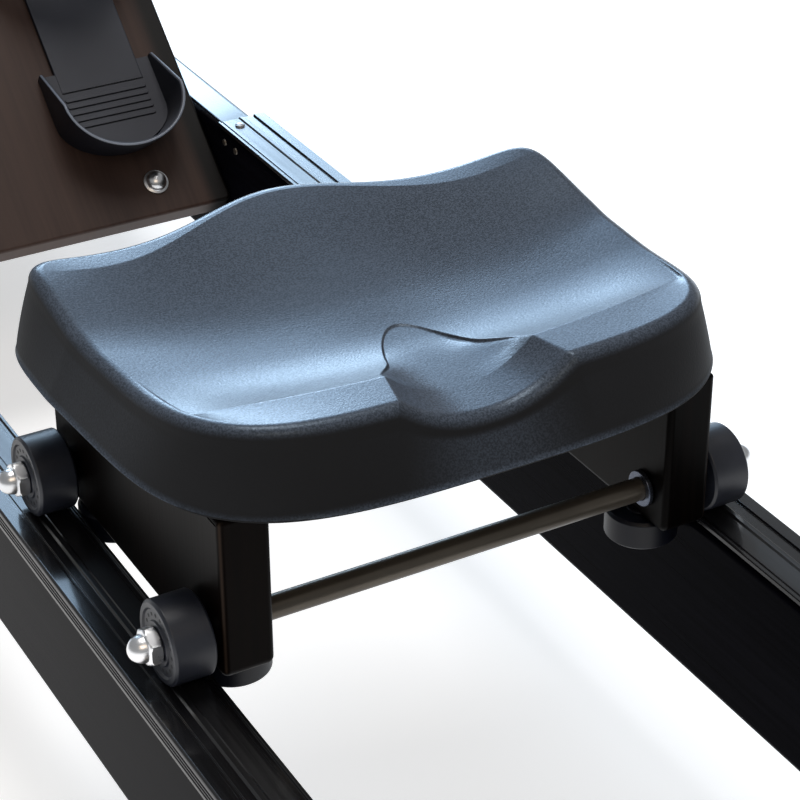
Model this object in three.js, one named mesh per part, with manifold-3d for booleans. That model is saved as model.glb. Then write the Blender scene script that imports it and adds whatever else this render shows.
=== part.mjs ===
// Twin-rail water rowing machine, in millimetres, with +Z up and +Y towards the water tank.
// The origin is on the floor, midway along the rails and midway between them.

import * as THREE from 'three';
import { mergeVertices } from 'three/addons/utils/BufferGeometryUtils.js';
import Module from 'manifold-3d';

const wasm = await Module();
wasm.setup();

// Clearances shared by the whole machine
const running_gap = 0.3;
const cut_overrun = 6;
const merge_tolerance = 0.001;
const degrees = Math.PI / 180;

// Sides of the round bodies, finer on the larger ones
const cord_sides = 8;
const pin_sides = 10;
const bolt_sides = 12;
const rod_sides = 16;
const hub_sides = 20;
const guide_sides = 24;
const roller_sides = 28;
const drum_sides = 32;
const tank_sides = 40;
const hexagon_sides = 6;

// Rails
const rail_length = 2100;
const rail_spacing = 272;
const rail_thickness = 29.5;
const rail_height = 97.5;
const rail_clearance = 85;
const rail_edge_radius = 6;

// Capping strips on the rails
const cap_thickness = 2.5;
const cap_end_inset = 5;
const cap_overlap = 19;
const cap_lip_width = 2;
const cap_groove_width = 2;
const cap_groove_depth = 1.3;
const cap_track_drop = 0.7;
const cap_ridge_width = 2.4;
const cap_ridge_share = 0.62;
const cap_skirt_drop = 9;
const cap_skirt_thickness = 6.2;
const cap_rib_depth = 0.6;
const cap_rib_count = 3;

// Seat: its group's origin is at the rear axle, on top of the capping strip
const seat_standoff = 540;
const axle_spacing = 163;
const seat_width = 316;
const seat_rear_overhang = 46;
const seat_front_overhang = 32;
const seat_nose = 20;
const seat_nose_width = 55;
const seat_flare = 19;
const seat_taper_share = 0.045;
const seat_front_power = 14;
const seat_front_power_loss = 7;
const seat_rear_power = 5;
const seat_rear_power_loss = 1.5;
const seat_taper_limit_share = 0.35;
const seat_front_zone = 0.15;
const seat_rear_zone = 0.1;
const seat_end_band_share = 0.12;
const seat_side_band_share = 0.03;
const seat_hollow_power = 4;
const seat_corner_power = 4;
const seat_skirt_height = 90;
const seat_side_height = 125;
const seat_corner_rise = 11;
const seat_nose_rise = 6;
const seat_rear_rise = 6;
const seat_bowl_depth = 14;
const seat_ridge_height = 3;
const seat_ridge_width = 30;
const seat_band_drop = 2;
const seat_shoulder = 5;
const seat_edge_out = 0.6;
const seat_edge_down = 0.3;
const seat_wall = 5;
const scoop_length = 78;
const scoop_half_width = 47;
const scoop_depth = 5;
const scoop_rim_depth = 5;
const scoop_rim_zone = 0.7;
const scoop_opening_power = 0.8;

// Seat carriage
const block_inner_spacing = 217;
const block_thickness = 26;
const block_rise = 3;
const block_overhang = 19;
const block_edge_radius = 4;
const base_plate_thickness = 9;
const roller_radius = 21;
const roller_width = 21;
const roller_edge = 1.6;
const roller_inset = 2.2;
const roller_recess = 1;
const roller_hub_radius = 11;
const roller_recess_radius = 17;
const axle_radius = 6;
const axle_collar_radius = 9.5;
const axle_collar_width = 2.6;
const axle_thread_length = 7;
const nut_across_flats = 17;
const nut_height = 6.5;
const nut_dome_radius = 7;
const nut_dome_length = 8;
const guide_radius = 19;
const guide_height = 16;
const guide_edge = 1.4;
const guide_drop = 1.5;
const guide_inset = 31;
const guide_bolt_radius = 4;
const guide_bolt_grip = 24;
const guide_head_radius = 6.5;
const guide_head_height = 3.5;

// Footboard: its group leans back by the tilt, with x across, y up the slope and z off the face
const board_tilt = 41.5 * degrees;
const board_run = 315;
const board_foot_drop = 49.8;
const board_thickness = 18;
const board_edge_radius = 4;
const strap_slot_width = 34;
const strap_slot_length = 54;

// Heel cups and the straps over the feet
const foot_offset = 75;
const cup_half_width = 44;
const cup_depth = 40;
const cup_foot = 39;
const cup_top = 116;
const cup_height = 35;
const cup_low_height = 8;
const cup_wall = 3;
const cup_side_draft = 2;
const cup_heel_draft = 10;
const slide_width = 61;
const slide_length = 232;
const slide_thickness = 4;
const cup_outline_steps = 9;
const foot_strap_foot = 192;
const foot_strap_width = 44;
const foot_strap_half_span = 52;
const foot_strap_height = 76;
const foot_strap_thickness = 3;

// Legs, feet and transport wheels
const foot_height = 12;
const foot_inset = 15;
const rear_leg_inset = 45;
const rear_leg_thickness = 30;
const front_leg_inset = 40;
const front_leg_thickness = 36;
const leg_tongue_height = 74;
const wheel_radius = 27;
const wheel_width = 22;
const wheel_clearance = 9;
const wheel_axle_radius = 5;
const wheel_axle_head = 8;
const wheel_axle_head_length = 4;

// Decks and posts around the tank
const deck_half_width = 264;
const deck_front_inset = 8;
const deck_thickness = 18;
const deck_corner_radius = 46;
const post_size = 34;
const post_inset = 30;
const deck_spacing = 214;

// Water tank
const tank_front_margin = 19;
const tank_rear_margin = 18;
const tank_radius = 230;
const tank_wall = 4;
const tank_flange = 10;
const tank_flange_thickness = 5;
const bowl_height = 80;
const lid_height = 70;
const tank_curve = 42;
const lid_neck_radius = 34;
const socket_height = 12;
const socket_wall = 6;
const paddle_radius = 160;
const paddle_hub_radius = 20;
const paddle_blade_thickness = 7;
const paddle_height = 88;
const paddle_lift = 22;
const paddle_blades = 6;
const shaft_radius = 8;
const shaft_standout = 4;
const bearing_wall = 12;
const bearing_flange = 7;
const bearing_flange_thickness = 5;

// Strap drum, drive strap and recoil cord
const drum_barrel_radius = 45;
const drum_flange_radius = 52;
const drum_flange_thickness = 2;
const drum_lift = 2;
const recoil_spool_radius = 24;
const recoil_spool_height = 8;
const strap_width = 18;
const strap_thickness = 2;
const strap_wound_thickness = 6;
const guide_pulley_radius = 15;
const guide_pulley_flange = 19;
const guide_pulley_inset = 21;
const pulley_pin_radius = 4;
const pulley_pin_head = 7;
const cord_diameter = 6;
const cord_length = 212;
const cord_anchor_size = 16;

// Handle
const handle_standoff = 81;
const handle_length = 446;
const handle_radius = 11;
const grip_radius = 16;
const grip_length = 140;
const grip_wall_end = 4;
const clip_width = 30;
const clip_length = 16;
const rest_half_width = 42;
const rest_depth = 5;
const rest_web = 24;
const rest_slot_width = 37;

// Monitor
const monitor_width = 152;
const monitor_height = 92;
const monitor_thickness = 22;
const monitor_corner_radius = 10;
const monitor_tilt = 28 * degrees;
const monitor_inset = 87;
const arm_width = 28;
const arm_thickness = 10;
const arm_foot_length = 46;
const arm_rise = 62;
const knuckle_radius = 8;
const knuckle_pin_radius = 3;
const ear_thickness = 7;

// Places worked out from the sizes above, from the rails' front end backwards
const deck_front_y = rail_length / 2 - deck_front_inset;
const tank_y = deck_front_y - tank_front_margin - tank_radius;
const deck_rear_y = tank_y - tank_radius - tank_rear_margin;
const monitor_y = deck_rear_y + monitor_inset;
const guide_pulley_y = deck_rear_y + guide_pulley_inset;
const handle_y = deck_rear_y - handle_standoff;
const board_foot_y = deck_rear_y - board_run;
const rear_axle_y = board_foot_y - seat_standoff;
const cap_rear_y = cap_end_inset - rail_length / 2;
const cap_length = board_foot_y + cap_overlap - cap_rear_y;
const rear_leg_y = rear_leg_inset - rail_length / 2;
const front_leg_y = rail_length / 2 - front_leg_inset;

// Heights and places across
const rail_inner_x = rail_spacing / 2;
const rail_outer_x = rail_inner_x + rail_thickness;
const rail_top = rail_clearance + rail_height;
const track_top = rail_top + cap_thickness;
const board_foot_z = track_top - board_foot_drop;
const lower_deck_top = rail_top + deck_thickness;
const upper_deck_bottom = lower_deck_top + deck_spacing;
const upper_deck_top = upper_deck_bottom + deck_thickness;
const lid_top = lower_deck_top + bowl_height + lid_height + running_gap;
const drum_bottom = lid_top + drum_lift;
const strap_bottom = drum_bottom + recoil_spool_height + 2 * drum_flange_thickness;
const strap_middle = strap_bottom + strap_width / 2;
const drum_top = strap_bottom + strap_width + drum_flange_thickness;

// Finishes
const finish = (color, roughness, metalness = 0, extra = {}) =>
  new THREE.MeshStandardMaterial({ color, roughness, metalness, ...extra });
const black_lacquer = finish(0x14141a, 0.18);
const cap_black = finish(0x1b1c1e, 0.2, 0.4);
const seat_black = finish(0x2a2f37, 0.5);
const stained_wood = finish(0x1b1310, 0.45);
const board_wood = finish(0x35231d, 0.5);
const roller_black = finish(0x1c1d20, 0.4);
const black_steel = finish(0x1a1918, 0.35, 0.8);
const bright_chrome = finish(0xd9dde0, 0.12, 1);
const cup_black = finish(0x1f242b, 0.45);
const webbing = finish(0x17181a, 0.85);
const foot_rubber = finish(0x121212, 0.9);
const clear_shell = finish(0xcfe0e6, 0.08, 0, { transparent: true, opacity: 0.35 });
const paddle_plastic = finish(0x2b3035, 0.5);
const grip_foam = finish(0x161719, 0.9);
const monitor_shell = finish(0x202225, 0.4);

// Geometry helpers

// A closed body: shared corners merged, flat slivers dropped and every face turned outwards.
function closed(geometry) {
  const bare = new THREE.BufferGeometry();
  bare.setAttribute('position', geometry.getAttribute('position').clone());
  if (geometry.index) bare.setIndex(geometry.index.clone());
  const merged = mergeVertices(bare, merge_tolerance);
  const corner = merged.getAttribute('position');
  const faces = [];
  let volume = 0;
  const [a, b, c] = [new THREE.Vector3(), new THREE.Vector3(), new THREE.Vector3()];
  for (let i = 0; i < merged.index.count; i += 3) {
    const face = [0, 1, 2].map((k) => merged.index.getX(i + k));
    if (new Set(face).size < face.length) continue;
    [a, b, c].forEach((point, k) => point.fromBufferAttribute(corner, face[k]));
    volume += a.dot(b.clone().cross(c));
    faces.push(face);
  }
  merged.setIndex(faces.flatMap((face) => (volume < 0 ? [face[0], face[2], face[1]] : face)));
  merged.computeVertexNormals();
  return merged;
}

function solid(geometry) {
  const body = closed(geometry);
  const vertProperties = Float32Array.from(body.getAttribute('position').array);
  const triVerts = Uint32Array.from(body.index.array);
  return new wasm.Manifold(new wasm.Mesh({ numProp: 3, vertProperties, triVerts }));
}

function geometry_of(manifold) {
  const mesh = manifold.getMesh();
  const geometry = new THREE.BufferGeometry();
  geometry.setAttribute('position', new THREE.BufferAttribute(mesh.vertProperties, 3));
  geometry.setIndex(new THREE.BufferAttribute(mesh.triVerts, 1));
  return closed(geometry);
}

const joined = (first, ...others) =>
  geometry_of(others.reduce((body, other) => body.add(solid(other)), solid(first)));
const cut = (blank, ...tools) =>
  geometry_of(tools.reduce((body, tool) => body.subtract(solid(tool)), solid(blank)));

const moved = (geometry, x, y, z) => geometry.translate(x, y, z);
const mirrored_x = (geometry) => closed(geometry.clone().scale(-1, 1, 1));

// An outline of [across, up] points carried along +X, +Y or +Z from zero.
function outline_shape(points) {
  return new THREE.Shape(points.map(([u, v]) => new THREE.Vector2(u, v)));
}

function along_z(shape, length) {
  return new THREE.ExtrudeGeometry(shape, { depth: length, bevelEnabled: false, curveSegments: 6 });
}

function along_y(shape, length) {
  return along_z(shape, length).rotateX(Math.PI / 2).translate(0, length, 0);
}

function along_x(shape, length) {
  const turn = new THREE.Matrix4().makeBasis(
    new THREE.Vector3(0, 1, 0), new THREE.Vector3(0, 0, 1), new THREE.Vector3(1, 0, 0));
  return along_z(shape, length).applyMatrix4(turn);
}

// A rectangle whose four corners have their own radius, anticlockwise from the lower left.
function rounded(x0, y0, x1, y1, radii) {
  const [r0, r1, r2, r3] = radii;
  const shape = new THREE.Shape();
  shape.moveTo(x0 + r0, y0);
  shape.lineTo(x1 - r1, y0);
  if (r1 > 0) shape.absarc(x1 - r1, y0 + r1, r1, -Math.PI / 2, 0);
  shape.lineTo(x1, y1 - r2);
  if (r2 > 0) shape.absarc(x1 - r2, y1 - r2, r2, 0, Math.PI / 2);
  shape.lineTo(x0 + r3, y1);
  if (r3 > 0) shape.absarc(x0 + r3, y1 - r3, r3, Math.PI / 2, Math.PI);
  shape.lineTo(x0, y0 + r0);
  if (r0 > 0) shape.absarc(x0 + r0, y0 + r0, r0, Math.PI, 1.5 * Math.PI);
  return shape;
}

function box(x0, x1, y0, y1, z0, z1) {
  return new THREE.BoxGeometry(x1 - x0, y1 - y0, z1 - z0)
    .translate((x0 + x1) / 2, (y0 + y1) / 2, (z0 + z1) / 2);
}

// A round body about Z from its [radius, height] points, from the axis back to the axis.
function turned_z(points, sides) {
  return new THREE.LatheGeometry(points.map(([r, h]) => new THREE.Vector2(r, h)), sides)
    .rotateX(Math.PI / 2);
}

const turned_x = (points, sides) => turned_z(points, sides).rotateY(Math.PI / 2);
const rod_z = (radius, z0, z1, sides) => turned_z([[0, z0], [radius, z0], [radius, z1], [0, z1]], sides);
const rod_x = (radius, x0, x1, sides) => turned_x([[0, x0], [radius, x0], [radius, x1], [0, x1]], sides);

const machine = new THREE.Group();

function add(name, geometry, material, position = [0, 0, 0], parent = machine) {
  const mesh = new THREE.Mesh(closed(geometry), material);
  mesh.name = name;
  mesh.position.set(...position);
  parent.add(mesh);
  return mesh;
}

const sides = [['left', -1], ['right', 1]];
const ends = [['rear', 0], ['front', axle_spacing]];

// Rails and their capping strips

function rail() {
  const radii = Array(4).fill(rail_edge_radius);
  return moved(
    along_y(rounded(rail_inner_x, rail_clearance, rail_outer_x, rail_top, radii), rail_length),
    0, -rail_length / 2, 0);
}

// The strip's section: lip, groove, track, low ridge, track, groove, outer lip and ribbed skirt.
function cap_section() {
  const top = rail_top + cap_thickness;
  const floor = top - cap_groove_depth;
  const track = top - cap_track_drop;
  const skirt_inner = rail_outer_x + running_gap;
  const skirt_outer = skirt_inner + cap_skirt_thickness;
  const skirt_bottom = rail_top - cap_skirt_drop;
  const ridge = rail_inner_x + rail_thickness * cap_ridge_share;
  const inner_groove = rail_inner_x + cap_lip_width;
  const outer_groove = rail_outer_x - cap_lip_width;
  const points = [
    [rail_inner_x, rail_top], [rail_inner_x, top], [inner_groove, top], [inner_groove, floor],
    [inner_groove + cap_groove_width, floor], [inner_groove + cap_groove_width, track],
    [ridge - cap_ridge_width, track], [ridge - cap_ridge_width / 2, top],
    [ridge + cap_ridge_width / 2, top], [ridge + cap_ridge_width, track],
    [outer_groove - cap_groove_width, track], [outer_groove - cap_groove_width, floor],
    [outer_groove, floor], [outer_groove, top],
    [skirt_outer - cap_rib_depth * 2, top], [skirt_outer, top - cap_rib_depth * 2],
  ];
  const pitch = cap_skirt_drop / (cap_rib_count + 1);
  for (let rib = 0; rib < cap_rib_count; rib += 1) {
    const z = rail_top - pitch * (rib + 0.5);
    points.push([skirt_outer, z + pitch / 4], [skirt_outer - cap_rib_depth, z],
      [skirt_outer - cap_rib_depth, z - pitch / 4], [skirt_outer, z - pitch / 2]);
  }
  points.push([skirt_outer, skirt_bottom], [skirt_inner, skirt_bottom], [skirt_inner, rail_top]);
  return points;
}

function add_rails() {
  const cap = moved(along_y(outline_shape(cap_section()), cap_length), 0, cap_rear_y, 0);
  for (const [side, sign] of sides) {
    add(`${side}_rail`, sign < 0 ? mirrored_x(rail()) : rail(), black_lacquer);
    add(`${side}_rail_cap`, sign < 0 ? mirrored_x(cap) : cap, cap_black);
  }
}

// Seat shell: rings of points about the seat's middle, out over the rim, down the skirt and
// back up inside it.

const seat_top_half_width = seat_width / 2 - seat_flare;
const seat_rear = seat_flare - seat_rear_overhang;
const seat_front = axle_spacing + seat_front_overhang - seat_flare;
const seat_middle = (seat_rear + seat_front) / 2;
const seat_half_depth = (seat_front - seat_rear) / 2;

const smooth = (from, to, value) => {
  const share = Math.min(Math.max((value - from) / (to - from), 0), 1);
  return share * share * (3 - 2 * share);
};

// A point of the rim's outline, a rounded rectangle grown outwards and drawn in to the rear.
function rim_point(angle, share, grow) {
  const half_width = seat_top_half_width + grow;
  const half_depth = seat_half_depth + grow;
  const [c, s] = [Math.cos(angle), Math.sin(angle)];
  const power = s > 0 ? seat_front_power - seat_front_power_loss * grow / seat_flare
    : seat_rear_power - seat_rear_power_loss * grow / seat_flare;
  const reach = (Math.abs(c / half_width) ** power + Math.abs(s / half_depth) ** power) ** (-1 / power);
  const x = share * reach * c;
  const along = share * reach * s;
  const nose = seat_nose * Math.exp(-((x / seat_nose_width) ** 2)) * smooth(0, 1, along / half_depth);
  const taper = seat_taper_share * Math.min(along / half_depth, seat_taper_limit_share);
  return [x * (1 + taper), seat_middle + along + nose];
}

// How far inside the tailbone scoop a point lies, from 0 to 1.
function scoop_share(x, y) {
  const along = (seat_rear + scoop_length - y) / scoop_length;
  const half_width = scoop_half_width * Math.max(along, 0) ** scoop_opening_power;
  return smooth(0, 1, (half_width - Math.abs(x)) / seat_shoulder);
}

function seat_height(x, y, share) {
  const side = Math.abs(x) / seat_top_half_width;
  const along = (y - seat_middle) / seat_half_depth;
  const front = smooth(seat_front_zone, 1, along);
  const rear = smooth(seat_rear_zone, 1, -along);
  const rim = seat_side_height + seat_rear_rise * rear
    + front * (seat_corner_rise * side ** seat_corner_power + seat_nose_rise * Math.exp(-((x / seat_nose_width) ** 2)));
  const band_share = 1 - seat_end_band_share * Math.max(front, rear) - seat_side_band_share;
  const hollow = 1 - Math.min(share / band_share, 1) ** seat_hollow_power;
  const band = smooth(band_share, 1, share) * seat_band_drop * rear;
  const ridge = seat_ridge_height * Math.exp(-((x / seat_ridge_width) ** 2)) * hollow;
  const bowl = seat_bowl_depth * hollow * (1 - front / 2);
  const scoop = scoop_share(x, y) * (scoop_depth + scoop_rim_depth * smooth(scoop_rim_zone, 1, share));
  return rim - band - bowl + ridge - scoop;
}

const seat_ring_shares = [0.14, 0.32, 0.48, 0.62, 0.74, 0.83, 0.9, 0.96, 1];
const seat_ring_sides = 56;

function seat_shell() {
  const ceiling = seat_skirt_height + base_plate_thickness + running_gap;
  const rings = [
    ...seat_ring_shares.map((share) => ({ share, grow: 0, drop: 0 })),
    { share: 1, grow: seat_shoulder * seat_edge_out, drop: seat_shoulder * seat_edge_down },
    { share: 1, grow: seat_shoulder, drop: seat_shoulder },
    { share: 1, grow: seat_flare, level: seat_skirt_height },
    { share: 1, grow: seat_flare - seat_wall, level: seat_skirt_height },
    { share: 1, grow: seat_flare - 2 * seat_wall, level: ceiling },
  ];
  const points = [];
  for (const { share, grow, drop, level } of rings) {
    for (let k = 0; k < seat_ring_sides; k += 1) {
      const angle = (k + 0.5) * 2 * Math.PI / seat_ring_sides;
      const [x, y] = rim_point(angle, share, grow);
      const [rim_x, rim_y] = rim_point(angle, share, 0);
      points.push(x, y, level ?? seat_height(rim_x, rim_y, share) - drop);
    }
  }
  const crown = points.length / 3;
  points.push(0, seat_middle, seat_height(0, seat_middle, 0));
  points.push(0, seat_middle, ceiling);
  const faces = [];
  const last = (rings.length - 1) * seat_ring_sides;
  for (let k = 0; k < seat_ring_sides; k += 1) {
    const next = (k + 1) % seat_ring_sides;
    faces.push(crown, k, next, crown + 1, last + next, last + k);
    for (let ring = 0; ring < rings.length - 1; ring += 1) {
      const [p, q] = [ring * seat_ring_sides, (ring + 1) * seat_ring_sides];
      faces.push(p + k, q + k, q + next, p + k, q + next, p + next);
    }
  }
  const shell = new THREE.BufferGeometry();
  shell.setAttribute('position', new THREE.Float32BufferAttribute(points, 3));
  shell.setIndex(faces);
  return shell;
}

// Seat carriage

const block_inner_x = block_inner_spacing / 2;
const block_outer_x = block_inner_x + block_thickness;
const block_top = seat_skirt_height - running_gap;
const axle_height = roller_radius + running_gap;
const roller_inner_x = rail_inner_x + roller_inset;
const roller_outer_x = roller_inner_x + roller_width;
const guide_x = rail_inner_x - running_gap - guide_radius;
const guide_top = block_rise - guide_drop;

function side_block() {
  const radii = [block_edge_radius, block_edge_radius, 0, 0];
  const length = axle_spacing + 2 * block_overhang;
  const blank = moved(
    along_y(rounded(block_inner_x, block_rise, block_outer_x, block_top, radii), length),
    0, -block_overhang, 0);
  const tools = [];
  for (const [end, y] of ends) {
    tools.push(moved(
      rod_x(axle_radius + running_gap, block_inner_x - cut_overrun, block_outer_x + cut_overrun, rod_sides),
      0, y, axle_height));
    tools.push(moved(
      rod_z(guide_bolt_radius + running_gap, block_rise - cut_overrun,
        block_rise + guide_bolt_grip + running_gap, pin_sides),
      guide_x, guide_y(end), 0));
  }
  return cut(blank, ...tools);
}

function guide_y(end) {
  return end === 'rear' ? guide_inset - block_overhang : axle_spacing + block_overhang - guide_inset;
}

// The rod carries a collar against each face of each side block, turned with it.
function axle() {
  const [inner, outer] = [block_inner_x - running_gap, block_outer_x + running_gap];
  const half = [
    [axle_radius, 0], [axle_radius, inner - axle_collar_width],
    [axle_collar_radius, inner - axle_collar_width], [axle_collar_radius, inner],
    [axle_radius, inner], [axle_radius, outer],
    [axle_collar_radius, outer], [axle_collar_radius, roller_inner_x - running_gap],
    [axle_radius, roller_inner_x - running_gap], [axle_radius, axle_tip_x],
  ];
  const lower = half.slice(1).reverse().map(([r, x]) => [r, -x]);
  return turned_x([[0, -axle_tip_x], ...lower, ...half.slice(1), [0, axle_tip_x]], rod_sides);
}

const nut_inner_x = roller_outer_x + running_gap;
const axle_tip_x = nut_inner_x + axle_thread_length;

function roller() {
  const bore = axle_radius + running_gap;
  const deep = roller_outer_x - roller_recess;
  return turned_x([
    [bore, roller_inner_x], [roller_radius - roller_edge, roller_inner_x],
    [roller_radius, roller_inner_x + roller_edge], [roller_radius, roller_outer_x - roller_edge],
    [roller_radius - roller_edge, roller_outer_x], [roller_recess_radius, roller_outer_x],
    [roller_recess_radius, deep], [roller_hub_radius, deep], [roller_hub_radius, roller_outer_x],
    [bore, roller_outer_x], [bore, roller_inner_x],
  ], roller_sides);
}

// A domed nut: a hexagon and a dome with a blind hole for the rod's end.
function domed_nut() {
  const foot = nut_inner_x;
  const hexagon = turned_x([
    [0, foot], [nut_across_flats / Math.sqrt(3), foot],
    [nut_across_flats / Math.sqrt(3), foot + nut_height], [0, foot + nut_height],
  ], hexagon_sides);
  const dome = [[0, foot + running_gap], [nut_dome_radius, foot + running_gap]];
  const dome_steps = 4;
  for (let step = 0; step <= dome_steps; step += 1) {
    const angle = step / dome_steps * Math.PI / 2;
    dome.push([nut_dome_radius * Math.cos(angle),
      foot + nut_height + nut_dome_length * Math.sin(angle)]);
  }
  const hole = rod_x(axle_radius + running_gap, foot - cut_overrun, axle_tip_x + running_gap, bolt_sides);
  return cut(joined(hexagon, turned_x(dome, bolt_sides)), hole);
}

function guide_roller() {
  const bore = guide_bolt_radius + running_gap;
  const bottom = guide_top - guide_height;
  return turned_z([
    [bore, bottom], [guide_radius - guide_edge, bottom], [guide_radius, bottom + guide_edge],
    [guide_radius, guide_top - guide_edge], [guide_radius - guide_edge, guide_top],
    [bore, guide_top], [bore, bottom],
  ], guide_sides);
}

// The bolt's shoulder fills the gap between the roller and the block.
function guide_bolt() {
  const bottom = guide_top - guide_height - running_gap;
  const shoulder = guide_bolt_radius + guide_drop;
  return turned_z([
    [0, bottom - guide_head_height], [guide_head_radius, bottom - guide_head_height],
    [guide_head_radius, bottom], [guide_bolt_radius, bottom],
    [guide_bolt_radius, guide_top + running_gap], [shoulder, guide_top + running_gap],
    [shoulder, block_rise - running_gap], [guide_bolt_radius, block_rise - running_gap],
    [guide_bolt_radius, block_rise + guide_bolt_grip], [0, block_rise + guide_bolt_grip],
  ], bolt_sides);
}

function add_seat() {
  const seat = new THREE.Group();
  seat.position.set(0, rear_axle_y, track_top);
  machine.add(seat);
  add('seat_shell', seat_shell(), seat_black, [0, 0, 0], seat);
  add('seat_base_plate',
    box(-block_outer_x, block_outer_x, 0, axle_spacing, 0, base_plate_thickness),
    black_steel, [0, 0, seat_skirt_height], seat);
  for (const [side, sign] of sides) {
    const block = side_block();
    add(`${side}_side_block`, sign < 0 ? mirrored_x(block) : block, stained_wood, [0, 0, 0], seat);
  }
  for (const [end, y] of ends) {
    add(`${end}_axle`, axle(), black_steel, [0, y, axle_height], seat);
    for (const [side, sign] of sides) {
      const turned = (geometry) => (sign < 0 ? geometry.rotateZ(Math.PI) : geometry);
      add(`${end}_${side}_roller`, turned(roller()), roller_black, [0, y, axle_height], seat);
      add(`${end}_${side}_axle_nut`, turned(domed_nut()), bright_chrome, [0, y, axle_height], seat);
      const place = [sign * guide_x, guide_y(end), 0];
      add(`${end}_${side}_guide_roller`, guide_roller(), roller_black, place, seat);
      add(`${end}_${side}_guide_bolt`, guide_bolt(), bright_chrome, place, seat);
    }
  }
}

// Footboard, heel cups and foot straps

// How far up the slope a place at this y and z of the machine lies.
const slope_at = (y, z) =>
  (y - board_foot_y) * Math.cos(board_tilt) + (z - board_foot_z) * Math.sin(board_tilt);
const board_length = slope_at(deck_rear_y, upper_deck_bottom) - running_gap;
const strap_crossing = (strap_middle - board_foot_z) / Math.sin(board_tilt);

function footboard() {
  const half_width = rail_inner_x - running_gap;
  const radii = [board_edge_radius, board_edge_radius, board_edge_radius, board_edge_radius];
  const blank = moved(
    along_z(rounded(-half_width, 0, half_width, board_length, radii), board_thickness),
    0, 0, -board_thickness);
  const slot_y = strap_crossing + board_thickness / 2 / Math.tan(board_tilt);
  const slot = box(-strap_slot_width / 2, strap_slot_width / 2,
    slot_y - strap_slot_length / 2, slot_y + strap_slot_length / 2,
    -board_thickness - cut_overrun, cut_overrun);
  return cut(blank, slot);
}

// A heel cup on a long slide plate. Its U-shaped wall opens out as it rises, and is cut down
// towards the toes.
const cup_middle = cup_foot + cup_depth;

// The U between the cup's mouth and its heel, drawn in by an inset.
function cup_outline(inset) {
  const half_width = cup_half_width - inset;
  const depth = cup_depth - inset;
  const outline = new THREE.Shape().moveTo(half_width, cup_top).lineTo(half_width, cup_middle);
  return outline.absellipse(0, cup_middle, half_width, depth, 0, -Math.PI, true)
    .lineTo(-half_width, cup_top);
}

// Draws a cup piece in towards its foot by the drafts.
function drafted(geometry) {
  const corner = geometry.getAttribute('position');
  for (let i = 0; i < corner.count; i += 1) {
    const fall = 1 - corner.getZ(i) / cup_height;
    const behind = Math.min(corner.getY(i) - cup_middle, 0);
    corner.setX(i, corner.getX(i) * (1 - fall * cup_side_draft / cup_half_width));
    corner.setY(i, corner.getY(i) - behind * fall * cup_heel_draft / cup_depth);
  }
  return geometry;
}

function heel_slide() {
  const inner = cup_outline(cup_wall).getPoints(cup_outline_steps).reverse();
  const wall = outline_shape(
    [...cup_outline(0).getPoints(cup_outline_steps), ...inner].map((point) => [point.x, point.y]));
  const floor = outline_shape(
    cup_outline(cup_wall / 2).getPoints(cup_outline_steps).map((point) => [point.x, point.y]));
  const plate = rounded(-slide_width / 2, cup_middle, slide_width / 2, cup_foot + slide_length,
    [0, 0, board_edge_radius, board_edge_radius]);
  const wedge = along_x(outline_shape([
    [cup_top + cut_overrun, cup_low_height],
    [cup_top + cut_overrun, cup_height + cut_overrun],
    [cup_middle, cup_height + cut_overrun],
    [cup_middle, cup_height],
    [cup_top, cup_low_height],
  ]), 2 * (cup_half_width + cut_overrun)).translate(-cup_half_width - cut_overrun, 0, 0);
  return cut(joined(drafted(along_z(wall, cup_height)), drafted(along_z(floor, slide_thickness)),
    along_z(plate, slide_thickness)), wedge);
}

// A webbing band that arches over the foot, with flat tabs on the board.
function foot_strap() {
  const arch = new THREE.Shape();
  const tab = foot_strap_half_span + board_edge_radius * 2;
  const inner_span = foot_strap_half_span - foot_strap_thickness;
  const inner_height = foot_strap_height - foot_strap_thickness;
  arch.moveTo(tab, 0);
  arch.lineTo(tab, foot_strap_thickness);
  arch.lineTo(foot_strap_half_span, foot_strap_thickness);
  arch.absellipse(0, foot_strap_thickness, foot_strap_half_span, inner_height, 0, Math.PI, false);
  arch.lineTo(-tab, foot_strap_thickness);
  arch.lineTo(-tab, 0);
  arch.lineTo(-inner_span, 0);
  arch.absellipse(0, 0, inner_span, inner_height, Math.PI, 0, true);
  arch.lineTo(inner_span, 0);
  arch.closePath();
  return along_y(arch, foot_strap_width);
}

function add_footboard() {
  const board = new THREE.Group();
  board.position.set(0, board_foot_y, board_foot_z);
  board.rotation.x = board_tilt;
  machine.add(board);
  add('footboard', footboard(), board_wood, [0, 0, 0], board);
  for (const [side, sign] of sides) {
    add(`${side}_heel_slide`, heel_slide(), cup_black, [sign * foot_offset, 0, running_gap], board);
    add(`${side}_foot_strap`, foot_strap(), webbing,
      [sign * foot_offset, foot_strap_foot, running_gap], board);
  }
  add('handle_rest', handle_rest(), black_steel);
}

// The bracket behind the handle: its back lies on the board and a level shelf carries the bar.
function handle_rest() {
  const shelf = strap_middle - handle_radius - running_gap;
  const face_y = (z) => board_foot_y + (z - board_foot_z) / Math.tan(board_tilt)
    - running_gap / Math.sin(board_tilt);
  const edge = handle_y - handle_radius / 2;
  const section = outline_shape([
    [face_y(shelf - rest_web), shelf - rest_web], [face_y(shelf), shelf],
    [edge, shelf], [edge, shelf - rest_depth],
  ]);
  const blank = moved(along_x(section, 2 * rest_half_width), -rest_half_width, 0, 0);
  const front = edge - cut_overrun;
  const back = face_y(shelf - rest_web / 2);
  return cut(blank, box(-rest_slot_width / 2, rest_slot_width / 2, front, back,
    shelf - rest_web - cut_overrun, shelf + cut_overrun));
}

// Legs, rubber feet and transport wheels

const wheel_height = wheel_clearance + wheel_radius;

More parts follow.
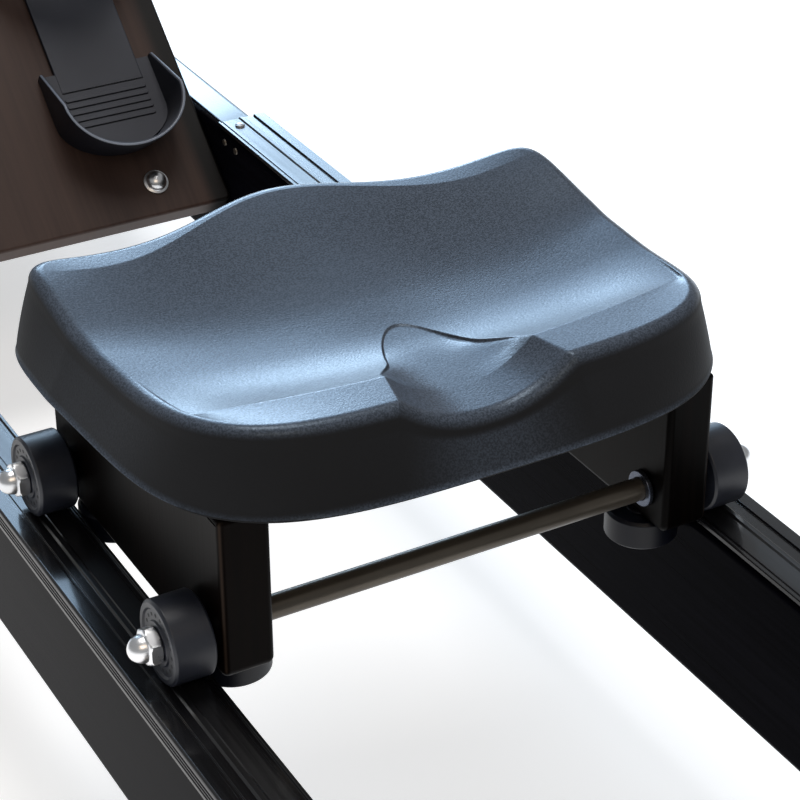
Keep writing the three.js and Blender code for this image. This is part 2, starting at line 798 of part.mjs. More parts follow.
// A leg panel: shoulders under the rails and a tongue that stands up between them.
function leg(thickness) {
  const tongue = rail_inner_x - running_gap;
  const top = rail_clearance + leg_tongue_height;
  const half = [
    [rail_outer_x, foot_height], [rail_outer_x, rail_clearance], [tongue, rail_clearance], [tongue, top],
  ];
  const other_half = half.slice().reverse().map(([x, z]) => [-x, z]);
  return moved(along_y(outline_shape([...half, ...other_half]), thickness), 0, -thickness / 2, 0);
}

// A rubber strip under a leg panel.
function foot(thickness) {
  const outer = rail_outer_x - foot_inset;
  return box(-outer, outer, -thickness / 2, thickness / 2, 0, foot_height);
}

function add_legs() {
  add('rear_leg', leg(rear_leg_thickness), stained_wood, [0, rear_leg_y, 0]);
  add('rear_foot', foot(rear_leg_thickness), foot_rubber, [0, rear_leg_y, 0]);
  const bore = moved(
    rod_x(wheel_axle_radius + running_gap, -rail_outer_x - cut_overrun, rail_outer_x + cut_overrun, rod_sides),
    0, 0, wheel_height);
  add('front_leg', cut(leg(front_leg_thickness), bore), stained_wood, [0, front_leg_y, 0]);
  add('front_foot', foot(front_leg_thickness), foot_rubber, [0, front_leg_y, 0]);
  const wheel_inner = rail_outer_x + running_gap;
  const wheel_outer = wheel_inner + wheel_width;
  const head = wheel_outer + running_gap;
  const tip = head + wheel_axle_head_length;
  add('transport_axle', turned_x([
    [0, -tip], [wheel_axle_head, -tip], [wheel_axle_head, -head], [wheel_axle_radius, -head],
    [wheel_axle_radius, head], [wheel_axle_head, head], [wheel_axle_head, tip], [0, tip],
  ], rod_sides), black_steel, [0, front_leg_y, wheel_height]);
  const bore_radius = wheel_axle_radius + running_gap;
  const crown = roller_edge;
  for (const [side, sign] of sides) {
    const wheel = turned_x([
      [bore_radius, wheel_inner], [wheel_radius - crown, wheel_inner],
      [wheel_radius, wheel_inner + crown], [wheel_radius, wheel_outer - crown],
      [wheel_radius - crown, wheel_outer], [bore_radius, wheel_outer], [bore_radius, wheel_inner],
    ], roller_sides);
    add(`${side}_transport_wheel`, sign < 0 ? wheel.rotateZ(Math.PI) : wheel, roller_black,
      [0, front_leg_y, wheel_height]);
  }
}

// Decks and posts

function deck() {
  const radii = Array(4).fill(deck_corner_radius);
  return along_z(rounded(-deck_half_width, deck_rear_y, deck_half_width, deck_front_y, radii),
    deck_thickness);
}

const bearing_radius = shaft_radius + bearing_wall;

function add_decks() {
  add('lower_deck', deck(), stained_wood, [0, 0, rail_top]);
  const hole = moved(rod_z(bearing_radius + running_gap, -cut_overrun, deck_thickness + cut_overrun, guide_sides),
    0, tank_y, 0);
  const pin_hole = moved(
    rod_z(pulley_pin_radius + running_gap, -cut_overrun, deck_thickness + cut_overrun, bolt_sides),
    guide_pulley_x, guide_pulley_y, 0);
  add('upper_deck', cut(deck(), hole, pin_hole), stained_wood, [0, 0, upper_deck_bottom]);
  const reach = post_inset + post_size / 2;
  for (const [side, sign] of sides) {
    for (const [end, y] of [['rear', deck_rear_y + reach], ['front', deck_front_y - reach]]) {
      const x = sign * (deck_half_width - reach);
      add(`${end}_${side}_post`,
        box(-post_size / 2, post_size / 2, -post_size / 2, post_size / 2, lower_deck_top, upper_deck_bottom),
        stained_wood, [x, y, 0]);
    }
  }
}

// Water tank, paddle and shaft

// The tank's side, from the flange round the curve to the flat end, drawn in by a wall.
function tank_side(height, inset) {
  const radius = tank_radius - inset;
  const points = [];
  const curve_steps = 4;
  for (let step = 0; step <= curve_steps; step += 1) {
    const angle = step / curve_steps * Math.PI / 2;
    points.push([radius - tank_curve + tank_curve * Math.cos(angle),
      height - inset - tank_curve + tank_curve * Math.sin(angle)]);
  }
  return points;
}

const socket_radius = shaft_radius + running_gap;

function tank_bowl() {
  const outside = tank_side(bowl_height, 0).map(([r, h]) => [r, bowl_height - h]).reverse();
  const inside = tank_side(bowl_height, tank_wall).map(([r, h]) => [r, bowl_height - h]);
  const neck = tank_wall + socket_height;
  return turned_z([
    [0, 0], ...outside, [tank_radius, bowl_height - tank_flange_thickness],
    [tank_radius + tank_flange, bowl_height - tank_flange_thickness],
    [tank_radius + tank_flange, bowl_height], [tank_radius - tank_wall, bowl_height],
    ...inside, [socket_radius + socket_wall, tank_wall], [socket_radius + socket_wall, neck],
    [socket_radius, neck], [socket_radius, tank_wall], [0, tank_wall],
  ], tank_sides);
}

function tank_lid() {
  const outside = tank_side(lid_height, 0);
  const inside = tank_side(lid_height, tank_wall).reverse();
  return turned_z([
    [tank_radius - tank_wall, 0], [tank_radius + tank_flange, 0],
    [tank_radius + tank_flange, tank_flange_thickness], [tank_radius, tank_flange_thickness],
    ...outside, [lid_neck_radius, lid_height], [lid_neck_radius, lid_height - tank_wall],
    ...inside, [tank_radius - tank_wall, 0],
  ], tank_sides);
}

// Flat blades round a hub with the shaft's bore.
function paddle() {
  const parts = [rod_z(paddle_hub_radius, 0, paddle_height, hub_sides)];
  for (let blade = 0; blade < paddle_blades; blade += 1) {
    const plate = box(0, paddle_radius, -paddle_blade_thickness / 2, paddle_blade_thickness / 2,
      0, paddle_height);
    parts.push(plate.rotateZ(blade * 2 * Math.PI / paddle_blades));
  }
  const bore = rod_z(shaft_radius + running_gap, -cut_overrun, paddle_height + cut_overrun, rod_sides);
  return cut(joined(...parts), bore);
}

function add_tank() {
  add('tank_bowl', tank_bowl(), clear_shell, [0, tank_y, lower_deck_top]);
  add('tank_lid', tank_lid(), clear_shell, [0, tank_y, lower_deck_top + bowl_height + running_gap]);
  const shaft_bottom = lower_deck_top + tank_wall + running_gap;
  const shaft_top = upper_deck_top + bearing_flange_thickness + shaft_standout;
  add('paddle', paddle(), paddle_plastic, [0, tank_y, lower_deck_top + paddle_lift]);
  add('paddle_shaft', rod_z(shaft_radius, shaft_bottom, shaft_top, rod_sides), bright_chrome, [0, tank_y, 0]);
  const bore = shaft_radius + running_gap;
  const collar = bearing_radius + bearing_flange;
  const flange_bottom = upper_deck_top + running_gap;
  add('shaft_bearing', turned_z([
    [bore, upper_deck_bottom], [bearing_radius, upper_deck_bottom], [bearing_radius, flange_bottom],
    [collar, flange_bottom], [collar, flange_bottom + bearing_flange_thickness],
    [bore, flange_bottom + bearing_flange_thickness], [bore, upper_deck_bottom],
  ], hub_sides), black_steel, [0, tank_y, 0]);
}

// Strap drum, drive strap, guide pulley and recoil cord

const guide_pulley_x = guide_pulley_radius + running_gap + strap_thickness / 2;

function strap_drum() {
  const bore = shaft_radius + running_gap;
  const lower = drum_bottom + drum_flange_thickness;
  return turned_z([
    [bore, drum_bottom], [recoil_spool_radius + cord_diameter, drum_bottom],
    [recoil_spool_radius + cord_diameter, lower], [recoil_spool_radius, lower],
    [recoil_spool_radius, lower + recoil_spool_height],
    [drum_flange_radius, lower + recoil_spool_height],
    [drum_flange_radius, strap_bottom - running_gap],
    [drum_barrel_radius, strap_bottom - running_gap],
    [drum_barrel_radius, strap_bottom + strap_width + running_gap],
    [drum_flange_radius, strap_bottom + strap_width + running_gap],
    [drum_flange_radius, drum_top], [bore, drum_top], [bore, drum_bottom],
  ], drum_sides);
}

// The strap's turns round the drum, then its run at a tangent to the bend at the guide pulley
// and on to the handle's clip.
function drive_strap() {
  const inner = drum_barrel_radius + running_gap;
  const outer = inner + strap_wound_thickness;
  const half = strap_thickness / 2;
  const middle = outer - half;
  const first_lean = Math.asin(middle / (tank_y - guide_pulley_y));
  const bend_y = guide_pulley_y + guide_pulley_x * Math.tan(first_lean / 2);
  const lean = Math.asin(middle / (tank_y - bend_y));
  const [across, along] = [Math.cos(lean), Math.sin(lean)];
  const handle_end = handle_y + handle_radius + clip_length + running_gap;
  const miter = half * Math.tan(lean / 2);
  const leaves = (radius) => [radius * across, tank_y - radius * along];
  const run = along_z(outline_shape([
    leaves(middle - half), [-half, bend_y + miter], [-half, handle_end], [half, handle_end],
    [half, bend_y - miter], leaves(middle + half),
  ]), strap_width);
  const turns = new THREE.Shape().absarc(0, tank_y, outer, 0, 2 * Math.PI, false);
  turns.holes.push(new THREE.Path().absarc(0, tank_y, inner, 0, 2 * Math.PI, true));
  const wound = new THREE.ExtrudeGeometry(turns,
    { depth: strap_width, bevelEnabled: false, curveSegments: tank_sides });
  return joined(wound, run);
}

function guide_pulley() {
  const bore = pulley_pin_radius + running_gap;
  const [low, high] = [strap_bottom - running_gap, strap_bottom + strap_width + running_gap];
  const rim = drum_flange_thickness;
  return turned_z([
    [bore, low - rim], [guide_pulley_flange, low - rim], [guide_pulley_flange, low],
    [guide_pulley_radius, low], [guide_pulley_radius, high], [guide_pulley_flange, high],
    [guide_pulley_flange, high + rim / 2], [bore, high + rim / 2], [bore, low - rim],
  ], guide_sides);
}

function add_drive() {
  add('strap_drum', strap_drum(), paddle_plastic, [0, tank_y, 0]);
  add('drive_strap', drive_strap(), webbing, [0, 0, strap_bottom]);
  add('guide_pulley', guide_pulley(), roller_black, [guide_pulley_x, guide_pulley_y, 0]);
  const pulley_bottom = strap_bottom - 2 * running_gap - drum_flange_thickness;
  add('guide_pulley_pin', turned_z([
    [0, pulley_bottom - drum_flange_thickness], [pulley_pin_head, pulley_bottom - drum_flange_thickness],
    [pulley_pin_head, pulley_bottom], [pulley_pin_radius, pulley_bottom],
    [pulley_pin_radius, upper_deck_top + running_gap], [pulley_pin_head, upper_deck_top + running_gap],
    [pulley_pin_head, upper_deck_top + running_gap + drum_flange_thickness],
    [0, upper_deck_top + running_gap + drum_flange_thickness],
  ], bolt_sides), bright_chrome, [guide_pulley_x, guide_pulley_y, 0]);
  const cord_z = drum_bottom + drum_flange_thickness + recoil_spool_height / 2;
  const cord_x = -(recoil_spool_radius + running_gap + cord_diameter / 2);
  const cord = moved(turned_z([
    [0, 0], [cord_diameter / 2, 0], [cord_diameter / 2, cord_length], [0, cord_length],
  ], cord_sides).rotateX(-Math.PI / 2), 0, 0, cord_z);
  const half = cord_anchor_size / 2;
  const anchor = box(-half, half, cord_length - half, cord_length + half,
    cord_z - half / 2, upper_deck_bottom - running_gap);
  add('recoil_cord', joined(cord, anchor), webbing, [cord_x, tank_y, 0]);
}

// Handle

function add_handle() {
  const handle = new THREE.Group();
  handle.position.set(0, handle_y, strap_middle);
  machine.add(handle);
  const half = handle_length / 2;
  const bar = rod_x(handle_radius, grip_wall_end + running_gap - half, half - grip_wall_end - running_gap, rod_sides);
  const clip = box(-clip_width / 2, clip_width / 2, 0, handle_radius + clip_length,
    -handle_radius / 2, handle_radius / 2);
  add('handle_bar', joined(bar, clip), black_steel, [0, 0, 0], handle);
  const bore = handle_radius + running_gap;
  const inner_end = half - grip_length;
  for (const [side, sign] of sides) {
    const grip = turned_x([
      [bore, inner_end], [grip_radius - roller_edge, inner_end],
      [grip_radius, inner_end + roller_edge], [grip_radius, half - roller_edge],
      [grip_radius - roller_edge, half], [0, half], [0, half - grip_wall_end],
      [bore, half - grip_wall_end], [bore, inner_end],
    ], hub_sides);
    add(`${side}_grip`, sign < 0 ? grip.rotateZ(Math.PI) : grip, grip_foam, [0, 0, 0], handle);
  }
}

// Monitor on its arm

function add_monitor() {
  const hinge_z = upper_deck_top + arm_rise;
  const section = outline_shape([
    [-arm_foot_length / 2, 0], [arm_foot_length / 2, 0], [arm_foot_length / 2, arm_thickness],
    [arm_thickness, arm_thickness], [knuckle_radius / 2, arm_rise], [-knuckle_radius / 2, arm_rise],
    [-arm_thickness, arm_thickness], [-arm_foot_length / 2, arm_thickness],
  ]);
  const plate = moved(along_x(section, arm_width), -arm_width / 2, 0, 0);
  const knuckle = moved(rod_x(knuckle_radius, -arm_width / 2, arm_width / 2, rod_sides), 0, 0, arm_rise);
  const ear_inner = arm_width / 2 + running_gap;
  const ear_outer = ear_inner + ear_thickness;
  const pin = moved(rod_x(knuckle_pin_radius, -ear_outer, ear_outer, pin_sides), 0, 0, arm_rise);
  add('monitor_arm', joined(plate, knuckle, pin), monitor_shell,
    [0, monitor_y, upper_deck_top]);
  const monitor = new THREE.Group();
  monitor.position.set(0, monitor_y, hinge_z);
  monitor.rotation.x = -monitor_tilt;
  machine.add(monitor);
  const radii = Array(4).fill(monitor_corner_radius);
  const back = knuckle_radius + 2 * running_gap;
  const shell = moved(
    along_y(rounded(-monitor_width / 2, -monitor_height / 2, monitor_width / 2, monitor_height / 2, radii),
      monitor_thickness), 0, -back - monitor_thickness, 0);
  const ear_blank = box(ear_inner, ear_outer, -back - cut_overrun / 2, knuckle_radius,
    -knuckle_radius, knuckle_radius);
  const hole = rod_x(knuckle_pin_radius + running_gap, -ear_outer - cut_overrun, ear_outer + cut_overrun, pin_sides);
  const body = cut(joined(shell, ear_blank, ear_blank.clone().translate(-ear_inner - ear_outer, 0, 0)), hole);
  add('monitor', body, monitor_shell, [0, 0, 0], monitor);
}

add_rails();
add_seat();
add_footboard();
add_legs();
add_decks();
add_tank();
add_drive();
add_handle();
add_monitor();

export default machine;
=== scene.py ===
# %% [markdown]
# # Dressing a water rowing machine
#
# The machine's solids are already measured and packed. This lesson puts skins on them: each
# piece is a surface worked out with numpy, and each finish is a graph of shader nodes written
# as plain arithmetic. Nothing is fitted by hand, because every place comes from the solids.
# The first cell loads them.

# %% Load the solids
import math

import bpy
import numpy as np
from mathutils import Matrix, Vector


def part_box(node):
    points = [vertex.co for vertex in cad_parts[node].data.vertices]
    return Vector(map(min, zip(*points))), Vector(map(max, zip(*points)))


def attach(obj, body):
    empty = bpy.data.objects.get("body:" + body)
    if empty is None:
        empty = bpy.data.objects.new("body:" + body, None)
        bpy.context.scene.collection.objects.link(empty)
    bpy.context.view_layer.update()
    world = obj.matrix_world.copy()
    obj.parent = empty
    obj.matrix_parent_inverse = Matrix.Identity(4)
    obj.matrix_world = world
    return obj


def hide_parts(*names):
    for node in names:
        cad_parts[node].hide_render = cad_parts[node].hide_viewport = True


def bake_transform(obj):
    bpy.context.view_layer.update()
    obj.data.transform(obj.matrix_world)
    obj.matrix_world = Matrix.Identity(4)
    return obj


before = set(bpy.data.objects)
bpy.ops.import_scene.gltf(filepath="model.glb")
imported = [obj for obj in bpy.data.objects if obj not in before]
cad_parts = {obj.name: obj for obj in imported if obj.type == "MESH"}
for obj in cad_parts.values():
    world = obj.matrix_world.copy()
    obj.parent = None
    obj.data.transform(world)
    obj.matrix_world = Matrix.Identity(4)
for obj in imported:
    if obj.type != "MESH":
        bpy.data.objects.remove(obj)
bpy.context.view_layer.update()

MM = 0.001
SIDES = (("left", -1), ("right", 1))
ENDS = ("rear", "front")
CORNERS = [(end, side, sign) for end in ENDS for side, sign in SIDES]

# %% [markdown]
# ## Reading places from the solids
#
# A piece that replaces a solid has to lie where the solid lies. `span` gives a node's lowest
# and highest corners in millimetres, the unit that the rest of the lesson is written in.

# %% Places
def span(node):
    """The lowest and the highest corner of a solid at rest, in millimetres."""
    low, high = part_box(node)
    return np.array(low) / MM, np.array(high) / MM


print("the right rail lies between", *(corner.round(1) for corner in span("right_rail")))

# %% [markdown]
# ## Outlines
#
# Most parts begin as a flat outline with soft corners: the section of a rail, the plan of a
# deck, the profile of a roller. A modifier could bevel them, but a formula keeps the arc exact
# and the outline light. Each corner becomes a conic arc that touches both sides.

# %% Rounded outlines and their offsets
def rounded(corners, radius, steps=5):
    """A closed outline with an arc at each corner. The arc starts and ends where it touches
    the sides, radius / tan(half the corner's angle) away, and between them it is the
    weighted mean (1-s)^2 A + 2 w s (1-s) P + s^2 B over the sum of its weights, with w the
    sine of half the angle, which makes it a circle's arc."""
    p = np.asarray(corners, float)
    to_last, to_next = np.roll(p, 1, 0) - p, np.roll(p, -1, 0) - p
    to_last /= np.linalg.norm(to_last, axis=1, keepdims=True)
    to_next /= np.linalg.norm(to_next, axis=1, keepdims=True)
    half = np.arccos(np.clip((to_last * to_next).sum(1), -1, 1)) / 2
    reach = (np.broadcast_to(radius, len(p)) / np.tan(half))[:, None, None]
    s = np.linspace(0, 1, steps)[None, :, None]
    a, b, c = (1 - s) ** 2, 2 * np.sin(half)[:, None, None] * s * (1 - s), s ** 2
    p, to_last, to_next = p[:, None], to_last[:, None], to_next[:, None]
    arc = (a * (p + reach * to_last) + b * p + c * (p + reach * to_next)) / (a + b + c)
    return arc.reshape(-1, 2)


def rectangle(x0, y0, x1, y1):
    """The corners of a rectangle, anticlockwise from the lower left."""
    return [(x0, y0), (x1, y0), (x1, y1), (x0, y1)]


def offset(outline, distance):
    """Each point of an anticlockwise outline moved outwards by distance, at right angles to
    the line between its two neighbours."""
    along = np.roll(outline, -1, 0) - np.roll(outline, 1, 0)
    along /= np.linalg.norm(along, axis=1, keepdims=True)
    return outline + distance * np.stack([along[:, 1], -along[:, 0]], 1)


print("points in a rounded square:", len(rounded(rectangle(0, 0, 10, 10), 2)))

# %% [markdown]
# ## From a grid of points to a closed skin
#
# Every surface here is a grid: rows by columns of points. Neighbours make four-sided faces,
# the columns close on themselves, and the end rows are closed by a flat face, or by a fan if
# they have shrunk to one point. Such a skin has no seam and no hole, and its volume says
# whether its faces look outwards.

# %% Skins
def skin(grid, closed=False):
    """Points and faces of a grid of points, rows by columns by three. With closed, the last
    row is joined to the first, as on a ring. Six times the volume is the sum of p0 . (p1 x
    p2) over the triangles, and its sign turns the faces outwards."""
    grid = np.asarray(grid, float)
    tips = [not closed and np.ptp(grid[row], axis=0).max() < 1e-6 for row in (0, -1)]
    rings = grid[int(tips[0]):len(grid) - int(tips[1])]
    columns = grid.shape[1]
    index = np.arange(rings.shape[0] * columns).reshape(-1, columns)
    low = index if closed else index[:-1]
    high = np.roll(index, -1, 0) if closed else index[1:]
    quads = np.stack([low, np.roll(low, -1, 1), np.roll(high, -1, 1), high], -1).reshape(-1, 4)
    points, faces = rings.reshape(-1, 3), quads.tolist()
    corners = [quads[:, :3], quads[:, [0, 2, 3]]]
    ends = () if closed else ((tips[0], index[0], 0), (tips[1], index[-1][::-1], -1))
    for tip, ring, row in ends:
        if tip:
            fan = np.stack([np.full(columns, len(points)), np.roll(ring, -1), ring], -1)
            points = np.vstack([points, grid[row][:1]])
            faces += fan.tolist()
            corners.append(fan)
        else:
            flat = ring[::-1]
            faces.append(flat.tolist())
            corners.append(np.stack([np.full(columns - 2, flat[0]), flat[1:-1], flat[2:]], -1))
    p0, p1, p2 = np.moveaxis(points[np.vstack(corners)], 1, 0)
    if (p0 * np.cross(p1, p2)).sum() < 0:
        faces = [face[::-1] for face in faces]
    return points, faces


def added(name, data):
    """A new object in the scene that shows a mesh, a light or a camera."""
    made = bpy.data.objects.new(name, data)
    bpy.context.scene.collection.objects.link(made)
    return made


def piece(name, skins, body, finish, stands_for=None, crease=35, spread=None, flats=True):
    """One object made of skins in millimetres. It rides on a body, takes the finish's material,
    and may stand for a solid. Edges sharper than the crease stay sharp. Spread gives a value
    per point, kept as the attribute 'spread' for a pattern that follows the surface. Flats
    weighs the normals by area, so that flat faces between rounded edges shine as flat ones."""
    points = np.vstack([p for p, _ in skins]) * MM
    starts = np.cumsum([0] + [len(p) for p, _ in skins])
    faces = [[i + start for i in face] for (_, fs), start in zip(skins, starts) for face in fs]
    mesh = bpy.data.meshes.new(name)
    mesh.from_pydata(points.tolist(), [], faces)
    mesh.polygons.foreach_set("use_smooth", np.ones(len(faces), bool))
    mesh.set_sharp_from_angle(angle=math.radians(crease))
    mesh.materials.append(finish.material)
    made = added(name, mesh)
    if spread is not None:
        kept = mesh.attributes.new("spread", "FLOAT_VECTOR", "POINT")
        kept.data.foreach_set("vector", np.asarray(spread, np.float32).ravel())
    elif flats:
        weighing = made.modifiers.new("weighed_normals", "WEIGHTED_NORMAL")
        weighing.weight, weighing.keep_sharp = 80, True
    if stands_for:
        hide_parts(stands_for)
    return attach(made, body) if body else made


prism = np.array([[(0, 0, z), (1, 0, z), (0, 1, z)] for z in (0, 1)])
print("a prism has", len(skin(prism)[0]), "points and", len(skin(prism)[1]), "faces")

# %% [markdown]
# ## Ways to make a grid
#
# - `turned`: a profile of radii and heights carried round an axis. A `ring` has a hole.
# - `slab`: an outline carried straight, its two rims rolled over a quarter circle. A `block`
#   is a slab from one corner to the other.
# - `carried`: a section carried along a path, for straps and cords.
# - the formulas of the seat and of the heel cups, which come with those pieces.

# %% Turned bodies
def around(sides):
    """Angles that divide a whole turn evenly."""
    return np.arange(sides) * math.tau / sides


def oriented(first, second, along, axis):
    """Puts two outline coordinates and one along the axis into x, y and z order."""
    parts = [first, second]
    parts.insert("xyz".index(axis), along)
    return np.stack(np.broadcast_arrays(*parts), -1)


def turned(profile, axis, centre, sides=64, closed=False):
    """Each (radius r, place h) of the profile becomes a ring: r cos a and r sin a across the
    axis, and h along it, for a whole turn of the angle a."""
    profile = np.asarray(profile, float)
    r, h, angle = profile[:, :1], profile[:, 1:], around(sides)
    grid = oriented(r * np.cos(angle), r * np.sin(angle), h + 0 * angle, axis)
    return skin(grid + np.asarray(centre, float), closed)


def ring(corners, soft, axis, centre, sides, steps=4, sign=1):
    """A wheel or washer turned from a closed outline with soft corners. The sign -1 turns it
    from its mirror image."""
    corners = np.array(corners, float) * (1, sign)
    return turned(rounded(corners, soft, steps), axis, centre, sides, True)


def mirrored(profile):
    """A half profile from the middle outwards, and the same on the other side."""
    profile = np.array(profile, float)
    return np.vstack([profile[::-1] * (1, -1), profile])


print("points of a turned cone:", len(turned([(5, 0), (3, 4), (0, 9)], "z", (0, 0, 0), 8)[0]))

# %% [markdown]
# A board whose rim meets its face at a knife edge looks drawn and not made. So the rims of a
# slab roll over a quarter circle, as sandpaper leaves them.

# %% Slabs
def rolled(low, high, soft, steps):
    """Insets and heights of a slab's edge. With t from 0 to a quarter turn, the inset is
    soft (1 - sin t) and the height soft (1 - cos t), and the upper rim mirrors the lower."""
    t = np.linspace(0, math.pi / 2, steps)
    inset, rise = soft * (1 - np.sin(t)), soft * (1 - np.cos(t))
    return np.append(inset, inset[::-1]), np.append(low + rise, high - rise[::-1])


def slab(outline, axis, low, high, soft, hole=None, steps=4):
    """The outline carried along an axis from low to high, with rolled rims. A hole is a
    second outline with as many points, and the skin goes back down through it."""
    inset, height = rolled(low, high, soft, steps)
    rows = [oriented(*offset(outline, -i).T, h, axis) for i, h in zip(inset, height)]
    if hole is not None:
        rows += [oriented(*offset(hole, i).T, h, axis)
                 for i, h in zip(inset[::-1], height[::-1])]
    return skin(np.array(rows), closed=hole is not None)


def block(low, high, axis, corner, soft, arc=5, steps=4, hole=None):
    """A box between two corners: its outline across the axis has corners rounded by arcs of
    arc points, and its two ends have rolled rims."""
    along = "xyz".index(axis)
    low_outline, high_outline = np.delete(low, along), np.delete(high, along)
    outline = rounded(rectangle(*low_outline, *high_outline), corner, arc)
    return slab(outline, axis, low[along], high[along], soft, hole, steps)


print("a rim of 2 mm rises through", rolled(0, 9, 2, 4)[1][:4].round(2))

# %% [markdown]
# A strap or a cord is a section that follows a path. Pieces that lean, on the footboard and
# on the monitor, are worked out level and turned as a last step, which keeps their numbers
# plain.

# %% Carried sections
def carried(section, path, across):
    """Each point (u, v) of the section is put at path + u across + v normal, where the normal
    is the path's direction turned a quarter turn round the fixed vector across."""
    path, across = np.asarray(path, float), np.asarray(across, float)
    along = np.gradient(path, axis=0)
    along /= np.linalg.norm(along, axis=1, keepdims=True)
    normal = np.cross(along, across)
    u, v = np.asarray(section, float).T
    return skin(path[:, None] + u[None, :, None] * across + v[None, :, None] * normal[:, None])


def leaned(skins, angle, place, shift=(0, 0, 0)):
    """Skins shifted, turned about x, so that y' = y cos a - z sin a and z' = y sin a + z cos a,
    and set down at a place."""
    c, s = math.cos(angle), math.sin(angle)
    turn = np.array([[1, 0, 0], [0, c, s], [0, -s, c]])
    return [((points + shift) @ turn + place, faces) for points, faces in skins]


print("faces of a block:", len(block((0, 0, 0), (9, 9, 9), "z", 2, 1)[1]))

# %% [markdown]
# ## Shader graphs written as sums
#
# A finish is a graph of nodes. Drawn by hand it is slow to read, so `Wire` wraps one socket
# and takes the ordinary operators: `1 - mask * 0.3` adds its two Math nodes. Every other node
# comes from `Finish.node`, which takes the node's type, its inputs and its settings. The
# patterns read Object coordinates, so they stay on the piece when it moves.

# %% Wires and finishes
def operator(operation, swapped=False):
    """A method that adds the Math node of that name, with its two values in either order."""
    def method(self, other):
        return self.math(operation, *((other, self) if swapped else (self, other)))
    return method


class Wire:
    """One socket of a finish. An operator on it adds the Math node of that name."""
    __add__ = __radd__ = operator("ADD")
    __mul__ = __rmul__ = operator("MULTIPLY")
    __sub__, __rsub__, __pow__ = operator("SUBTRACT"), operator("SUBTRACT", True), operator("POWER")

    def __init__(self, finish, socket):
        self.finish, self.socket = finish, socket

    def math(self, operation, *values):
        return self.finish.node("ShaderNodeMath", dict(enumerate(values)), operation=operation)

    def __abs__(self):
        return self.math("ABSOLUTE", self)

    def sine(self):
        return self.math("SINE", self)

    def between(self, low, high):
        """0 below low, 1 above high, and a smooth step from one to the other."""
        return self.finish.node("ShaderNodeMapRange", {"Value": self, "From Min": low,
                                                       "From Max": high},
                                interpolation_type="SMOOTHSTEP")


class Finish:
    """A material for one of the record's slots. Constants go straight onto the shader."""

    def __init__(self, name, slot, **constants):
        self.slot, self.material = slot, bpy.data.materials.new(name)
        self.material.use_nodes = True
        self.tree = self.material.node_tree
        self.shader = self.tree.nodes["Principled BSDF"]
        for socket, value in constants.items():
            self.shader.inputs[socket.replace("_", " ")].default_value = value
        self.place = self.node("ShaderNodeTexCoord", output="Object")

    def node(self, kind, inputs=None, output=0, **settings):
        """Adds a node: its settings first, then the values or the wires of its inputs."""
        made = self.tree.nodes.new(kind)
        for name, value in settings.items():
            setattr(made, name, value)
        for name, value in (inputs or {}).items():
            self.plug(made.inputs[name], value)
        return Wire(self, made.outputs[output])

    def plug(self, socket, value):
        if isinstance(value, Wire):
            self.tree.links.new(value.socket, socket)
        else:
            socket.default_value = value

    def noise(self, scale, detail=3, rough=0.5, place=None):
        return self.node("ShaderNodeTexNoise", {"Vector": place or self.place, "Scale": scale,
                                                "Detail": detail, "Roughness": rough})

    def grain(self, stretch, detail, rough, turn=(0, 0, 0)):
        """Noise over Object coordinates that are turned and then scaled along each axis."""
        place = self.node("ShaderNodeMapping", {"Vector": self.place, "Rotation": turn})
        place = self.node("ShaderNodeVectorMath", {0: place, 1: stretch}, operation="MULTIPLY")
        return self.noise(1.0, detail, rough, place)

    def cells(self, scale, feature="F1"):
        return self.node("ShaderNodeTexVoronoi", {"Vector": self.place, "Scale": scale},
                         feature=feature)

    def axis(self, name, vector=None):
        return self.node("ShaderNodeSeparateXYZ", {0: vector or self.place}, name)

    def upward(self, low, high):
        """0 where the normal's upward share is under low, 1 where it is over high."""
        normal = self.node("ShaderNodeNewGeometry", output="Normal")
        return self.axis("Z", normal).between(low, high)

    def mix(self, share, first, second):
        """The first colour where share is 0 and the second where it is 1."""
        return self.node("ShaderNodeMix", {0: share, 6: first, 7: second}, 2, data_type="RGBA")

    def paint(self, colour=None, rough=None, metal=None, coat=None):
        for name, value in (("Base Color", colour), ("Roughness", rough), ("Metallic", metal),
                            ("Coat Weight", coat)):
            if value is not None:
                self.plug(self.shader.inputs[name], value)

    def emboss(self, height, depth):
        """Leans the surface by a height from 0 to 1 that stands depth millimetres tall."""
        normal = self.node("ShaderNodeBump", {"Height": height, "Strength": 1.0,
                                              "Distance": depth * MM}, "Normal")
        self.plug(self.shader.inputs["Normal"], normal)
        return normal


def tone(red, green, blue):
    """A screen colour of 0 to 255 as linear light, by the 2.2 power."""
    return (*((c / 255) ** 2.2 for c in (red, green, blue)), 1.0)


print("a mid grey is", [round(c, 3) for c in tone(128, 128, 128)[:3]])

# %% [markdown]
# ## Camera
#
# The camera stands behind the seat and to its left, looks 29 degrees to the right of the
# rails and 31 degrees down, through a long lens. These numbers come from the vanishing points
# of the rails and the cross rod, and nothing about the picture is shifted or cropped.

# %% Camera
CAMERA_PLACE = np.array([-488.9, -1132.5, 854.7])
HEADING, DIP, ROLL = (math.radians(v) for v in (29.07, 30.59, -0.29))
FOCAL_PIXELS, FRAME_PIXELS, SENSOR = 2378.6, 800, 36

ahead = Vector((math.sin(HEADING) * math.cos(DIP), math.cos(HEADING) * math.cos(DIP),
                -math.sin(DIP)))
level = ahead.cross(Vector((0, 0, 1))).normalized()
upright = level.cross(ahead)
across = level * math.cos(ROLL) + upright * math.sin(ROLL)
rising = upright * math.cos(ROLL) - level * math.sin(ROLL)

